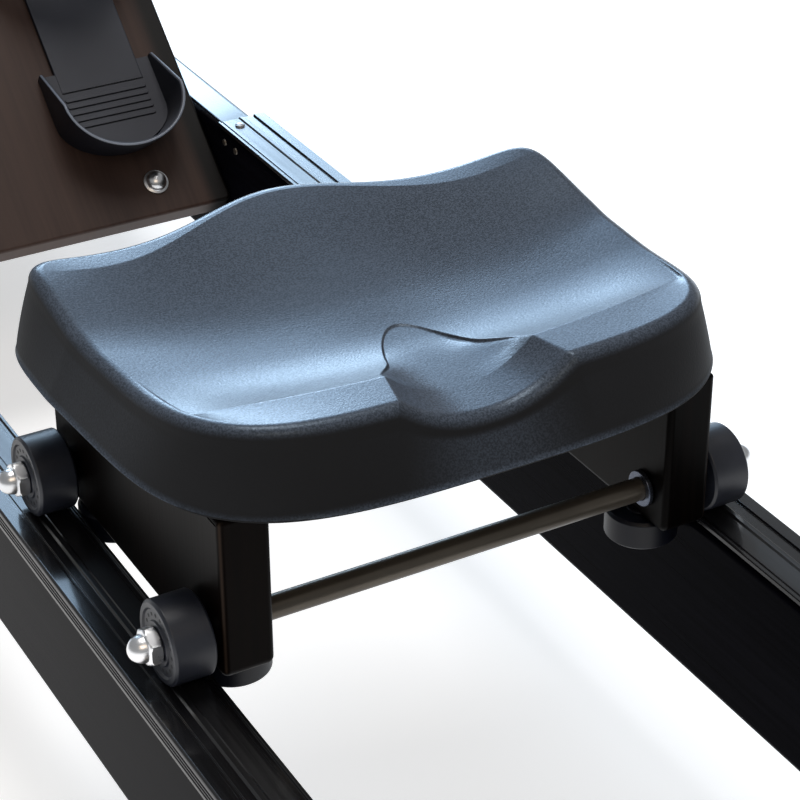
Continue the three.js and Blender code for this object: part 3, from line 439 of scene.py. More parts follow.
camera = added("portrait_camera", bpy.data.cameras.new("portrait_camera"))
camera.matrix_world = Matrix.Translation(Vector(CAMERA_PLACE * MM)) @ Matrix(
    (across, rising, -ahead)).transposed().to_4x4()
camera.data.sensor_width = SENSOR
camera.data.lens = FOCAL_PIXELS * SENSOR / FRAME_PIXELS
camera.data.clip_start, camera.data.clip_end = 0.05, 60
bpy.context.scene.camera = camera
print("lens:", round(camera.data.lens, 2), "mm")

# %% [markdown]
# ## Floor and light
#
# Glossy black things show their surroundings more than themselves. Two blue panels stand ahead
# of the machine, a tall one and a brighter low one, so that level surfaces seen at a slant
# catch them, as they would catch a window. A soft box overhead gives the shadows their edge,
# and a faint warm lamp behind fills the faces turned that way. The pale floor glows a little,
# more so far away, which keeps the shadows and the background light.

# %% Studio
FLOOR_HALF = 9000


def soft_box(name, place, target, width, height, watts, colour):
    """A rectangular light in millimetres, turned to face its target."""
    lamp = bpy.data.lights.new(name, "AREA")
    lamp.shape, lamp.size, lamp.size_y = "RECTANGLE", width * MM, height * MM
    lamp.energy, lamp.color = watts, colour
    made = added(name, lamp)
    made.location = Vector(place) * MM
    made.rotation_mode = "QUATERNION"
    made.rotation_quaternion = (Vector(target) * MM - made.location).to_track_quat("-Z", "Y")


soft_box("overhead", (150, 250, 2900), (0, -150, 200), 1200, 1200, 31, (1.0, 0.97, 0.94))
soft_box("lamp_behind", (-700, -2300, 2500), (0, -300, 200), 1600, 1000, 12, (1.0, 0.8, 0.6))
soft_box("window", (1460, 3090, 1700), (2906, 462, 1700), 3570, 2200, 82, (0.5, 0.73, 1.0))
soft_box("window_low", (731, 2522, 1000), (2177, -106, 1000), 1900, 850, 46, (0.6, 0.8, 1.0))

world = bpy.data.worlds.new("pale_room")
world.use_nodes = True
sky = world.node_tree.nodes["Background"].inputs
sky["Color"].default_value, sky["Strength"].default_value = (0.96, 0.98, 1.0, 1), 0.27
bpy.context.scene.world = world
bpy.context.scene.view_settings.view_transform = "Standard"

pale = Finish("floor_pale", None, Specular_IOR_Level=0.1, Emission_Strength=0.74)
far = (pale.axis("X") ** 2 + pale.axis("Y") ** 2).between(5, 18)
pale.plug(pale.shader.inputs["Emission Color"],
          pale.mix(far, (0.784, 0.784, 0.784, 1), (1, 1, 1, 1)))
pale.paint(pale.mix(pale.noise(0.7, 2).between(0.3, 0.7), (0.86, 0.865, 0.87, 1),
                    (0.88, 0.88, 0.88, 1)), pale.noise(3, 2) * 0.1 + 0.8)
floor_mesh = bpy.data.meshes.new("floor")
floor_mesh.from_pydata([(x * FLOOR_HALF * MM, y * FLOOR_HALF * MM, 0)
                        for x, y in rectangle(-1, -1, 1, 1)], [], [(0, 1, 2, 3)])
floor_mesh.materials.append(pale.material)
floor = added("floor", floor_mesh)

# %% [markdown]
# ## Finishes of the frame
#
# The rails are lacquered black over a tight grain that runs along them, the blocks and legs
# are stained almost black, and the footboard shows its reddish brown. Each takes a noise
# stretched along the grain into its colour, its roughness and a shallow bump.

# %% Wood
SPACING = 320


def grained(name, slot, dark, light, rough, grain, depth, varnished=False, wear_and_highlight=None, **constants):
    """Wood: fine fibres are noise squeezed across the grain, and wide bands are slow noise
    stretched along it. Their sum mixes the two colours, dulls the gloss and lifts the skin.
    Varnish is a coat that only the faces turned upwards keep."""
    wood = Finish(name, slot, **constants)
    fibres = wood.grain([SPACING * g for g in grain], 4, 0.6)
    bands = wood.grain([SPACING * 0.07 * g for g in grain], 2, 0.5)
    stain = wood.mix((fibres * 0.6 + bands * 0.5).between(0.35, 0.75), tone(*dark), tone(*light))
    # Where the mask is 1 the colour turns a lighter brown; on the blocks this is a painted
    # highlight down one edge.
    if wear_and_highlight:
        stain = wood.mix(wear_and_highlight(wood), stain, tone(74, 62, 54))
    wood.paint(stain, rough + fibres * 0.12 - bands * 0.04,
               coat=wood.upward(0.6, 0.95) if varnished else None)
    wood.emboss(fibres, depth)
    return wood


def corner_highlight_paint(wood):
    """1 on a line down each side block's outer rear corner, painted lighter as a highlight."""
    outer = abs(wood.axis("X")).between(0.1325, 0.1338)
    return outer * (wood.axis("Y") * -1).between(0.327, 0.3284) * 0.6


lacquer = grained("rail_lacquer", "rail_lacquer", (11, 11, 15), (20, 20, 25), 0.16, (1, 0.03, 1),
                  0.02, varnished=True, Specular_IOR_Level=0.008, Coat_Roughness=0.08)
dark_wood = grained("block_stain", "stained_wood", (8, 6, 5), (19, 14, 12), 0.34, (1, 1, 0.04),
                    0.05, wear_and_highlight=corner_highlight_paint, Specular_IOR_Level=0.04)
deck_wood = grained("deck_stain", "stained_wood", (16, 12, 11), (38, 28, 24), 0.3, (0.04, 1, 1),
                    0.05, Specular_IOR_Level=0.35)
print("woods:", lacquer.material.name, dark_wood.material.name, deck_wood.material.name)

# %% [markdown]
# The footboard leans back, so its pattern is turned by the same angle. Towards the rails its
# colour fades to near black: a painted shade, where the rails shadow the board.

# %% Board
BOARD_TILT, BOARD_PLACE = math.radians(41.5), np.array([0, 230.0, 135.2])
board_turn = (-BOARD_TILT, 0, 0)
board_wood = Finish("board_stain", "board_wood", Specular_IOR_Level=0.3)
fibres = board_wood.grain((260, 9, 260), 4, 0.6, board_turn)
bands = board_wood.grain((22, 1.2, 22), 2, 0.5, board_turn)
# Painted shade: the strip beside each rail is mixed almost to black, for the rails' shadow on the
# board.
rail_shadow_paint = abs(board_wood.axis("X")).between(0.115, 0.127)
stain = board_wood.mix((fibres * 0.5 + bands * 0.6).between(0.3, 0.8),
                       tone(50, 37, 33), tone(70, 54, 48))
board_wood.paint(board_wood.mix(rail_shadow_paint * 0.97, stain, tone(6, 5, 6)), 0.4 + fibres * 0.14)
board_wood.emboss(fibres, 0.04)
print("board grain turned by", round(math.degrees(board_turn[0]), 1), "degrees")

# %% [markdown]
# ## Finishes of metal and plastic
#
# Plastic gets its look from two things: a weak reflection, and a skin that is never flat. It
# is pebbled, which is a field of Voronoi cells about a millimetre across. Metal gets faint
# scratches, and webbing its threads.

# %% Moulded plastics
def moulded(name, slot, dark, light, rough, pebble, depth, patch=9, shaded_walls_tone=None, **constants):
    """Plastic with a pebbled skin: rounded cells 1/pebble metres apart, over slow patches
    that vary the colour and the gloss. Faces looking sideways or down can take painted shade."""
    plastic = Finish(name, slot, **constants)
    patches, pebbles = plastic.noise(patch, 3), plastic.cells(pebble)
    colour = plastic.mix(patches.between(0.3, 0.7), tone(*dark), tone(*light))
    if shaded_walls_tone:
        colour = plastic.mix(plastic.upward(0.35, 0.7), tone(*shaded_walls_tone), colour)
    plastic.paint(colour, rough + patches * 0.08 + pebbles * 0.1)
    plastic.emboss(1 - pebbles + plastic.noise(pebble * 2.2, 2) * 0.4, depth)
    return plastic


# Painted shade: the cups' walls, turned sideways or down, are coloured darker than their floors and
# tongues.
cup_plastic = moulded("cup_plastic", "cup_plastic", (53, 55, 63), (66, 69, 78), 0.38, 1500, 0.03,
                      shaded_walls_tone=(16, 19, 28), Specular_IOR_Level=0.4)
# Painted highlight: the cup's lip is a lighter, glossier copy of the cup's plastic.
lip_highlight_plastic = moulded("cup_lip", "cup_plastic", (96, 104, 118), (130, 138, 152), 0.26, 1500, 0.02,
                      Specular_IOR_Level=0.6)
roller_plastic = moulded("roller_nylon", "roller_plastic", (30, 33, 42), (42, 45, 54), 0.3, 2200,
                         0.02, 40, Specular_IOR_Level=0.55)
# Painted shade: the guide rollers under the blocks are the rollers' nylon in a darker copy.
shaded_guide_plastic = moulded("guide_nylon", "roller_plastic", (14, 17, 27), (22, 25, 36), 0.34, 2200,
                        0.02, 40, Specular_IOR_Level=0.35)
tyre = moulded("tyre_rubber", "roller_plastic", (20, 20, 21), (32, 32, 33), 0.6, 1200, 0.05, 30)
buckle = moulded("buckle_plastic", "cup_plastic", (20, 20, 22), (32, 32, 35), 0.35, 1800, 0.02)
shell_plastic = moulded("monitor_shell", "monitor_shell", (40, 42, 46), (52, 54, 58), 0.45, 1300,
                        0.05)
key_rubber = moulded("key_rubber", "monitor_shell", (92, 96, 100), (112, 116, 120), 0.5, 1500,
                     0.03)
paddle_grey = moulded("paddle_grey", "paddle_plastic", (66, 70, 76), (84, 88, 94), 0.4, 700,
                      0.04, 14)
rubber = moulded("foot_rubber", "foot_rubber", (22, 22, 23), (34, 34, 35), 0.8, 900, 0.12, 30,
                 Specular_IOR_Level=0.25)
foam = moulded("grip_foam", "grip_foam", (28, 29, 31), (42, 43, 46), 0.85, 1100, 0.2, 60,
               Specular_IOR_Level=0.2)
print("plastics in", len({f.slot for f in (cup_plastic, roller_plastic, shell_plastic,
                                           paddle_grey, rubber, foam)}), "slots")

# %% [markdown]
# The seat is the piece that the eye goes to. Its top is painted a lighter slate blue-grey with
# pale flecks, and its gloss is tinted blue: a painted sheen where the light skims the pebbles.
# Its skirt is a dull near-black, a painted shade. They are two shaders, lit and shaded copies
# of one plastic, mixed by how far the skin faces up, and a few slow patches keep both from
# looking printed.

# %% Seat skin
# Painted sheen: the blue specular tint and the lighter top colour with pale flecks stand in for
# cool light from above.
seat_skin = Finish("seat_moulding", "seat_moulding", Specular_IOR_Level=0.45,
                   Specular_Tint=(0.62, 0.8, 1.0, 1))
patches = seat_skin.noise(11, 4)
glint_speckle = seat_skin.noise(1000, 2, 0.6).between(0.38, 0.62)
lit_top_tone = seat_skin.mix(patches.between(0.3, 0.72), tone(47, 51, 58), tone(58, 64, 73))
seat_skin.paint(seat_skin.mix(glint_speckle * 0.6, lit_top_tone, tone(96, 105, 120)),
                0.3 + patches * 0.06 - glint_speckle * 0.05)
pebbled = seat_skin.emboss(1 - seat_skin.cells(900, "SMOOTH_F1"), 0.065)
# Painted shade: the skirt is the same plastic, darker and duller, for faces turned sideways or
# down.
shaded_skirt = seat_skin.node("ShaderNodeBsdfPrincipled", {
    "Base Color": seat_skin.mix(patches, tone(38, 38, 39), tone(45, 45, 46)),
    "Roughness": 0.45 + patches * 0.15, "Specular IOR Level": 0.05,
    "Specular Tint": (0.72, 0.84, 1.0, 1), "Normal": pebbled})
lit_and_shaded_seat = seat_skin.node("ShaderNodeMixShader", {0: seat_skin.upward(0.25, 0.9), 1: shaded_skirt,
                                              2: Wire(seat_skin, seat_skin.shader.outputs[0])})
seat_skin.plug(seat_skin.tree.nodes["Material Output"].inputs["Surface"], lit_and_shaded_seat)
print("nodes in the seat's finish:", len(seat_skin.tree.nodes))

# %% [markdown]
# Steel is polished along its length, so its scratches are a noise squeezed into long streaks.
# Webbing is woven, and two crossing sine waves show that without a single modelled thread.

# %% Metals and webbing
def steel(name, slot, colour, rough, metal, scratch):
    """Metal: a noise squeezed into long scratches dulls the gloss and just lifts the skin."""
    finish, bright = Finish(name, slot), tone(*colour)
    scratches, smears = finish.grain((60, 900, 900), 3, 0.7), finish.noise(30, 3)
    finish.paint(finish.mix(smears.between(0.3, 0.7), bright, (*(c * 0.8 for c in bright[:3]), 1)),
                 rough + scratches * scratch + smears * 0.05, metal)
    finish.emboss(scratches, 0.006)
    return finish


black_steel = steel("black_steel", "black_steel", (96, 90, 82), 0.26, 0.7, 0.14)
chrome = steel("bright_chrome", "chromed_steel", (252, 253, 255), 0.22, 1.0, 0.1)
plated = steel("plated_collar", "chromed_steel", (92, 98, 112), 0.2, 0.9, 0.12)
# Painted shade: the roller's holes are shallow dimples coloured near black, for the shade in deep
# holes.
hole_shade_paint = steel("roller_holes", "roller_plastic", (8, 8, 9), 0.6, 0.0, 0.1)


def woven(name, slot, dark, light, pitch):
    """Webbing: two sine waves that cross on the piece's own lengths, one along the band and
    one across it, make the over and under of the threads."""
    finish = Finish(name, slot, Specular_IOR_Level=0.2)
    kept = finish.node("ShaderNodeAttribute", output="Vector", attribute_name="spread")
    along, over = ((finish.axis(name, kept) * (math.tau / (pitch * MM))).sine() for name in "XY")
    threads = (along * over + 1) * 0.5
    finish.paint(finish.mix(threads, tone(*dark), tone(*light)), 0.75 + threads * 0.15)
    finish.emboss(threads, 0.35)
    return finish


webbing = woven("black_webbing", "webbing", (18, 18, 20), (44, 45, 49), 2.6)
drive_web = woven("drive_webbing", "webbing", (24, 24, 27), (58, 59, 64), 1.8)
print("metals:", black_steel.slot, chrome.slot, "and two webbings:", webbing.slot)

# %% [markdown]
# ## Rails and their capping strips
#
# Each rail is one tall timber with softened edges, so its section is a rounded rectangle in x
# and z, carried along y. The capping strip is an extrusion: a dull track for the roller, a
# ridge that guides it, two fine lips and a skirt with three ribs. Its section is the
# machine's most repeated detail, and it is written once and mirrored for the other side.

# %% Rails
RAIL_X, RAIL_Z, RAIL_Y = (136.0, 165.5), (85.0, 182.5), 1050.0
CAP_Y, CAP_TOP = (-1045.0, 249.0), 185.0

for side, sign in SIDES:
    low, high = sorted(sign * x for x in RAIL_X)
    timber = block((low, -RAIL_Y, RAIL_Z[0]), (high, RAIL_Y, RAIL_Z[1]), "y", 6, 2.5, 9)
    piece(f"{side}_rail_timber", [timber], "frame", lacquer, f"{side}_rail")
print("rails", round(RAIL_Z[1] - RAIL_Z[0], 1), "mm tall")

# %% [markdown]
# The strip is glossy where nothing touches it. Straight scratches run along it, and the
# rollers have dulled the middle of the track.

# %% Capping strips
strip_gloss = Finish("capping_strip", "cap_strip", Specular_IOR_Level=0.45, Coat_Roughness=0.1)
drawn = strip_gloss.grain((1800, 6, 1800), 3, 0.6)
wear_and_highlight = strip_gloss.grain((300, 14, 300), 2, 0.5)
track = abs(abs(strip_gloss.axis("X")) - 0.1485).between(0.0035, 0.009)
strip_gloss.paint(strip_gloss.mix(drawn.between(0.3, 0.8), tone(17, 17, 19), tone(30, 30, 33)),
                  0.2 + drawn * 0.1 + (1 - track) * wear_and_highlight * 0.3,
                  coat=strip_gloss.upward(0.5, 0.95))
strip_gloss.emboss(drawn, 0.004)

LIP, GROOVE, RIDGE, RIDGE_X = 2.0, 2.0, 2.4, RAIL_X[0] + (RAIL_X[1] - RAIL_X[0]) * 0.62
GROOVE_Z, TRACK_Z = CAP_TOP - 1.3, CAP_TOP - 0.7
SKIRT_IN, SKIRT_OUT, SKIRT_Z = RAIL_X[1] + 0.3, RAIL_X[1] + 6.5, RAIL_Z[1] - 9
inner, outer = RAIL_X[0] + LIP, RAIL_X[1] - LIP
strip = [(RAIL_X[0], RAIL_Z[1], 0.2), (RAIL_X[0], CAP_TOP, 0.6), (inner, CAP_TOP, 0.5),
         (inner, GROOVE_Z, 0.3), (inner + GROOVE, GROOVE_Z, 0.3), (inner + GROOVE, TRACK_Z, 0.3),
         (RIDGE_X - RIDGE, TRACK_Z, 0.4), (RIDGE_X - RIDGE / 2, CAP_TOP, 0.35),
         (RIDGE_X + RIDGE / 2, CAP_TOP, 0.35), (RIDGE_X + RIDGE, TRACK_Z, 0.4),
         (outer - GROOVE, TRACK_Z, 0.3), (outer - GROOVE, GROOVE_Z, 0.3), (outer, GROOVE_Z, 0.3),
         (outer, CAP_TOP, 0.6), (SKIRT_OUT, CAP_TOP, 1.6)]
for rib in range(3):
    z = RAIL_Z[1] - 2.25 * (rib + 0.5)
    strip += [(SKIRT_OUT, z + 0.56, 0.25), (SKIRT_OUT - 0.6, z, 0.15),
              (SKIRT_OUT - 0.6, z - 0.56, 0.15), (SKIRT_OUT, z - 1.12, 0.25)]
strip += [(SKIRT_OUT, SKIRT_Z, 0.5), (SKIRT_IN, SKIRT_Z, 0.5), (SKIRT_IN, RAIL_Z[1], 0.1)]

for side, sign in SIDES:
    corners = np.array(strip)[::-sign]
    outline = rounded(corners[:, :2] * (sign, 1), corners[:, 2], 4)
    piece(f"{side}_capping_strip", [slab(outline, "y", *CAP_Y, 0.2, steps=2)], "frame",
          strip_gloss, f"{side}_rail_cap", crease=50)
print("points round the strip's section:", len(outline))

# %% [markdown]
# ## Seat
#
# A moulded seat has no flat places, so it is one formula. Rings grow from the middle to a
# rounded-rectangle rim whose front bulges into a nose; the height over each point is the rim's
# height less two thigh bowls, plus a low ridge between them, less the tailbone scoop. Past the
# rim the rings go over a quarter-circle shoulder, down the flared skirt and up inside. Sculpting
# would give the same look but never the same measurements.

# %% Seat outline
SEAT_PLACE = np.array([0, -310.0, 185.0])
TOP_HALF_WIDTH, REAR_Y, FRONT_Y = 139.0, -27.0, 176.0
MIDDLE_Y, HALF_DEPTH = (REAR_Y + FRONT_Y) / 2, (FRONT_Y - REAR_Y) / 2
FLARE, SHOULDER, NOSE, NOSE_WIDTH = 19.0, 7.5, 20, 55
REAR_CREASE, FRONT_CREASE, CREASE_BEND = -4.0, 162.0, 17.4


def smooth(start, end, value):
    """0 before start, 1 after end, and 3 t^2 - 2 t^3 between them."""
    t = np.clip((value - start) / (end - start), 0, 1)
    return t * t * (3 - 2 * t)


def outline_point(angle, grow):
    """The point of |x/a|^p + |y/b|^p = 1 at an angle from the middle; p is high in front,
    where the corners are tight, and low at the rear."""
    a, b = TOP_HALF_WIDTH + grow, HALF_DEPTH + grow
    c, s = np.cos(angle), np.sin(angle)
    power = np.where(s > 0, 14 - 7 * grow / FLARE, 5 - 1.5 * grow / FLARE)
    reach = (np.abs(c / a) ** power + np.abs(s / b) ** power) ** (-1 / power)
    return reach * c, reach * s


def rim(angle, share, grow):
    """A point at a share of the way out to the outline. The outline bulges forwards by a
    bell curve, the nose, and narrows to the rear."""
    x, along = (share * v for v in outline_point(angle, grow))
    forward = along / (HALF_DEPTH + grow)
    nose = NOSE * np.exp(-(x / NOSE_WIDTH) ** 2) * smooth(0, 1, forward)
    return x * (1 + 0.045 * np.minimum(forward, 0.35)), MIDDLE_Y + along + nose


def front_crease(x):
    """The front crease runs across the seat at both corners and swings out to the nose."""
    return FRONT_CREASE - MIDDLE_Y + 12 * np.exp(-(x / 78) ** 4)


def crease_share(angle):
    """How far out the bowls end. The rear crease is a flat parabola across the seat, which
    this solves along each ray; beside both creases the bowls reach the rim."""
    x, along = outline_point(angle, 0)
    reach, bend = MIDDLE_Y - REAR_CREASE, CREASE_BEND * (x / TOP_HALF_WIDTH) ** 2
    rear = 2 * reach / (-along + np.sqrt(along ** 2 + 4 * bend * reach) + 1e-6)
    front = front_crease(x) / np.maximum(along, 1)
    return np.clip(np.where(along < 0, rear, front), 0, 0.985)


turn = around(460)
angle = turn - 0.11 * np.sin(4 * turn + math.pi) - 0.3 * np.cos(turn)
crease = crease_share(angle)
print("seat width", round(2 * rim(turn, 1, FLARE)[0].max(), 1), "mm, rear band",
      round((1 - crease.min()) * HALF_DEPTH, 1), "mm")

# %% [markdown]
# The bowls are deepest a third of the way forward: steep behind, where they stop the sitter
# sliding off, and a long gentle rise to the nose. The tailbone scoop is stamped into that with
# a sharp little step, which melts into one soft dip through the rear band.

# %% Seat heights
LOWEST = 0.47  # the bowls' lowest line, as a share of the way from crease to crease


def scoop(x, y, top):
    """Depth of the scoop under the top. Its half width is 3.8 sqrt(d) at d millimetres behind
    its point, and flares before the band. Inside a step that fades out both ways, the
    floor is a trough: a power curve across, whose middle rises gently to the rear."""
    behind = 66 - y
    x = x - 2 + 0.05 * behind
    half_width = 3.8 * np.sqrt(np.maximum(behind, 0)) + 8.5 * smooth(38, 62, behind)
    within = half_width ** 2 + 16 * np.minimum(behind, 0) - x ** 2
    inside = smooth(0, 1.3, within / (2 * np.sqrt(64 + x ** 2)))
    step, middle = smooth(2, 24, y) * (1.5 - 0.9 * smooth(36, 62, y)), 111.4 + 0.028 * behind
    out = np.clip(np.abs(x) / np.maximum(half_width, 0.1), 0, 1)
    trough = (1 - out ** 2.3) * np.maximum(top - step - middle, 0)
    return inside * (step + trough ** 2 / (trough + 1.2))


def seat_height(angle, share):
    """The rim with its raised corners and nose, less bowls 14 mm deep or more: a cubic across,
    and along the seat a power curve behind the lowest line and a quarter cosine before it;
    plus a low ridge, less the scoop. The rear band curls up towards its corners."""
    x, along = (share * v for v in outline_point(angle, 0))
    u, forward = np.abs(x) / TOP_HALF_WIDTH, along / HALF_DEPTH
    front, rear = smooth(0.15, 1, forward), smooth(0.1, 1, -forward)
    edge = 125 + 6 * rear + front * (11 * u ** 4 + 6 * np.exp(-(x / NOSE_WIDTH) ** 2))
    start = REAR_CREASE - MIDDLE_Y + CREASE_BEND * u ** 2
    t = np.clip((along - start) / (front_crease(x) - start), 0, 1)
    dip = np.where(t < LOWEST, 1 - np.clip(1 - t / LOWEST, 0, 1) ** 2.3,
                   np.cos((t - LOWEST) / (1 - LOWEST) * math.pi / 2))
    bowl = (14 + 3 * rear - 3 * np.exp(-(x / 30) ** 2) * smooth(0.2, 0.7, t)) * (1 - u ** 3) * dip
    past = np.clip((share - crease) / (1 - crease), 0, 1)
    band = (0.6 + 2.2 * u ** 2) * past ** 2 * rear
    return edge - bowl + band - scoop(*rim(angle, share, 0), edge - bowl + band)


print("lowest place of the bowls:", round(min(seat_height(angle, s).min()
                                              for s in np.linspace(0, 1, 40)), 1), "mm")

# %% [markdown]
# The columns are closer together near the four corners, where the outline bends most, and
# the rings are closer near the rim, where the flat band meets the bowls in a soft crease. A
# ring is a share of the way out, a growth of the outline and a height.

# %% Seat shell
SKIRT_FOOT, PLATE_Z = 90.0, 99.3
bowl_shares = crease * (1 - (1 - np.linspace(0, 1, 142)[:, None]) ** 1.15)
band_shares = crease + (1 - crease) * np.linspace(0, 1, 25)[1:, None]
edge = seat_height(angle, 1)
quarter, down = np.linspace(0, math.pi / 2, 8)[1:], np.linspace(0, 1, 10)[1:]
rings = [(s, 0, seat_height(angle, s)) for s in np.concatenate([bowl_shares, band_shares])]
rings += [(1, SHOULDER * math.sin(t), edge - SHOULDER * (1 - math.cos(t))) for t in quarter]
rings += [(1, SHOULDER + (FLARE - 0.6 - SHOULDER) * t,
           (edge - SHOULDER) * (1 - t) + (SKIRT_FOOT + 1.4) * t) for t in down]
rings += [(1, FLARE - 1.5 * (1 - math.cos(t)), SKIRT_FOOT + 1.2 * (1 - math.sin(t)))
          for t in np.linspace(0, math.pi / 2, 5)]
rings += [(1, FLARE - 4.5, SKIRT_FOOT), (1, FLARE - 5, SKIRT_FOOT + 1), (1, FLARE - 10, PLATE_Z),
          (0, 0, PLATE_Z)]
shell = [np.stack(np.broadcast_arrays(*rim(angle, share, grow), z), -1)
         for share, grow, z in rings]
piece("seat_moulded_shell", [skin(np.array(shell) + SEAT_PLACE)], "seat", seat_skin,
      "seat_shell", crease=70, flats=False)
print("seat rings:", len(rings), "columns:", len(angle))

# %% [markdown]
# ## Carriage: blocks, rods and collars
#
# Two stained blocks hang under the seat. A steel rod goes through both at each end, with a
# pressed collar against each face. The rods are black and the collars plated, and the rod is
# turned as one profile.

# %% Blocks and rods
AXLE_Z = SEAT_PLACE[2] + 21.3
AXLES = {"rear": (0, -310.0, AXLE_Z), "front": (0, -147.0, AXLE_Z)}
for side, sign in SIDES:
    timber = block(*span(f"{side}_side_block"), "x", [5, 5, 2.5, 2.5], 3.2, 7, 6)
    piece(f"{side}_wooden_block", [timber], "seat", dark_wood, f"{side}_side_block")
for end, axle in AXLES.items():
    rod = turned(mirrored([(6, 40), (6, 165.2), (5.2, 166.2), (0, 166.2)]), "x", axle, 40)
    piece(f"{end}_cross_rod", [rod], "seat", black_steel, f"{end}_axle")
    collars = [ring(rectangle(6.0, x - 1.3, 9.5, x + 1.3), 0.5, "x", axle, 48)
               for x in (-106.9, -136.3, 106.9, 136.3)]
    piece(f"{end}_rod_collars", collars, "seat", plated)
print("rod centre height", AXLE_Z)

# %% [markdown]
# ## Rollers and nuts
#
# A running roller is a turned wheel: a flat tread with rounded edges, a sunken face, a hub
# ring that stands in it, and small moulding holes in the face, shallow dimples painted near
# black as painted shade.

# %% Rollers
FACE, NUT_FACE, HOLE_CIRCLE = 159.2, 159.5, 14
tread = [(6.3, 138.2), (19.8, 138.2), (21, 139.4), (21, 158.0), (19.6, FACE), (17.2, FACE),
         (16.4, FACE - 1.0), (11.4, FACE - 1.0), (10.8, FACE), (6.3, FACE)]
tread_soft = [0.3, 0.5, 0.8, 0.8, 0.8, 0.3, 0.4, 0.4, 0.3, 0.3]
dimple = np.array([(0, FACE - 1.4), (0.9, FACE - 1.4), (1.0, FACE - 0.94), (0, FACE - 0.92)])
for end, side, sign in CORNERS:
    body, axle = f"{end}_{side}_roller", AXLES[end]
    piece(f"{end}_{side}_wheel", [ring(tread, tread_soft, "x", axle, 72, sign=sign)], body,
          roller_plastic, body)
    holes = [turned(dimple * (1, sign), "x", np.add(axle, (0, HOLE_CIRCLE * math.cos(a),
                                                           HOLE_CIRCLE * math.sin(a))), 12)
             for a in around(18)]
    piece(f"{end}_{side}_wheel_holes", holes, body, hole_shade_paint)
print("running rollers: 4, with", len(holes), "holes each")

# %% [markdown]
# A domed nut holds each roller. Its hexagon has the radius h / cos(a) of a six-sided bar, cut
# by a cone so that its corners are rounded off, and a half ellipse makes the dome. A boolean
# of a cone and a prism would give the same form with worse faces.

# %% Domed nuts
def hexagon(apothem):
    """Radii of a six-sided bar round a turn: apothem / cos of the angle from a flat's middle."""
    return apothem / np.cos((around(60) + math.pi / 6) % (math.pi / 3) - math.pi / 6)


def stacked(rows, axis, centre, start, direction):
    """Rings of 60 points, each with its radius or radii and its height above the start."""
    a = around(60)
    grid = [oriented(r * np.cos(a), r * np.sin(a), start + direction * h + 0 * a, axis)
            for r, h in rows]
    return skin(np.array(grid) + np.asarray(centre, float))


def nut(axis, centre, start, direction, apothem=8.5, tall=6.5, dome=6.9, dome_tall=8.0):
    """A washer face, the hexagon with both rims rounded off, and an elliptical dome."""
    corner = apothem / math.cos(math.pi / 6)
    cone = [(apothem * 0.96, 0.0), (corner - 0.9, 0.5), (corner, 1.2), (corner, tall - 1.2),
            (corner - 0.9, tall - 0.5), (apothem * 0.96, tall)]
    rows = [(np.minimum(hexagon(apothem), limit), h) for limit, h in cone]
    rows += [(dome * math.cos(t), tall + 0.2 + (dome_tall - 0.2) * math.sin(t))
             for t in np.linspace(0, math.pi / 2, 9)]
    return stacked(rows, axis, centre, start, direction)


for end, side, sign in CORNERS:
    made = nut("x", AXLES[end], sign * NUT_FACE, sign)
    piece(f"{end}_{side}_domed_nut", [made], "seat", chrome, f"{end}_{side}_axle_nut", crease=28)
print("nuts reach", np.abs(made[0][:, 0]).max(), "mm from the middle")

# %% [markdown]
# Four more rollers lie flat under the blocks and run against the rails' inner faces, so that
# the seat can't wander sideways.

# %% Guide rollers
GUIDE_X, GUIDE_Y = 116.7, {"rear": -298.0, "front": -159.0}
guide = [(4.3, 170.5), (17.4, 170.5), (19, 171.9), (19, 185.1), (17.4, 186.5), (13.5, 186.5),
         (13.0, 185.7), (8.0, 185.7), (7.5, 186.5), (4.3, 186.5)]
guide_soft = [0.3, 0.6, 0.8, 0.8, 0.6, 0.3, 0.3, 0.3, 0.3, 0.3]
shank = [(0, 170), (4, 170), (4, 186.8), (5.5, 186.8), (5.5, 187.7), (4, 187.7), (4, 200), (0, 200)]
for end, side, sign in CORNERS:
    place = (sign * GUIDE_X, GUIDE_Y[end], 0)
    piece(f"{end}_{side}_guide_wheel", [ring(guide, guide_soft, "z", place, 64)],
          f"{end}_{side}_guide", shaded_guide_plastic, f"{end}_{side}_guide_roller")
    screw = [nut("z", place, 170.2, -1, 5.6, 3.4, 4.4, 0.25), turned(shank, "z", place, 24)]
    piece(f"{end}_{side}_guide_screw", screw, "seat", chrome, f"{end}_{side}_guide_bolt")
print("guide rollers at x", GUIDE_X)

# %% [markdown]
# ## Footboard and heel cups
#
# Everything on the footboard is worked out lying flat, with x across, s up the slope and n
# off the face, and then leaned back with one rotation. The board is a slab with a slot for
# the strap.

# %% Footboard
def on_board(skins, *shift):
    """Skins worked out flat, shifted, and leaned back from the board's foot."""
    return leaned(skins, BOARD_TILT, BOARD_PLACE, shift or (0, 0, 0))


slot = rounded(rectangle(-17, 342.9, 17, 396.9), 6, 6)
board = block((-135.7, 0, -18.0), (135.7, 420.9, 0), "z", 4, 2.2, 6, 6, slot)
piece("sloping_footboard", on_board([board]), "frame", board_wood, "footboard")
print("board reaches y and z", span("footboard")[1][1:].round(1))

# %% [markdown]
# A heel cup is a wall carried round a U: its section is a thin upright with a rounded top, it
# leans out as it rises, and it falls away towards the toes. A bead lies along it, and a ribbed
# tongue lets it slide up the board for shorter feet.

# %% Heel cups
CUP_X, CUP_FOOT, CUP_MIDDLE, CUP_TOP = 75.0, 39.0, 79.0, 116.0
CUP_HALF, CUP_HEIGHT, CUP_LOW, CUP_REST = 44.0, 35.0, 8.0, 0.3


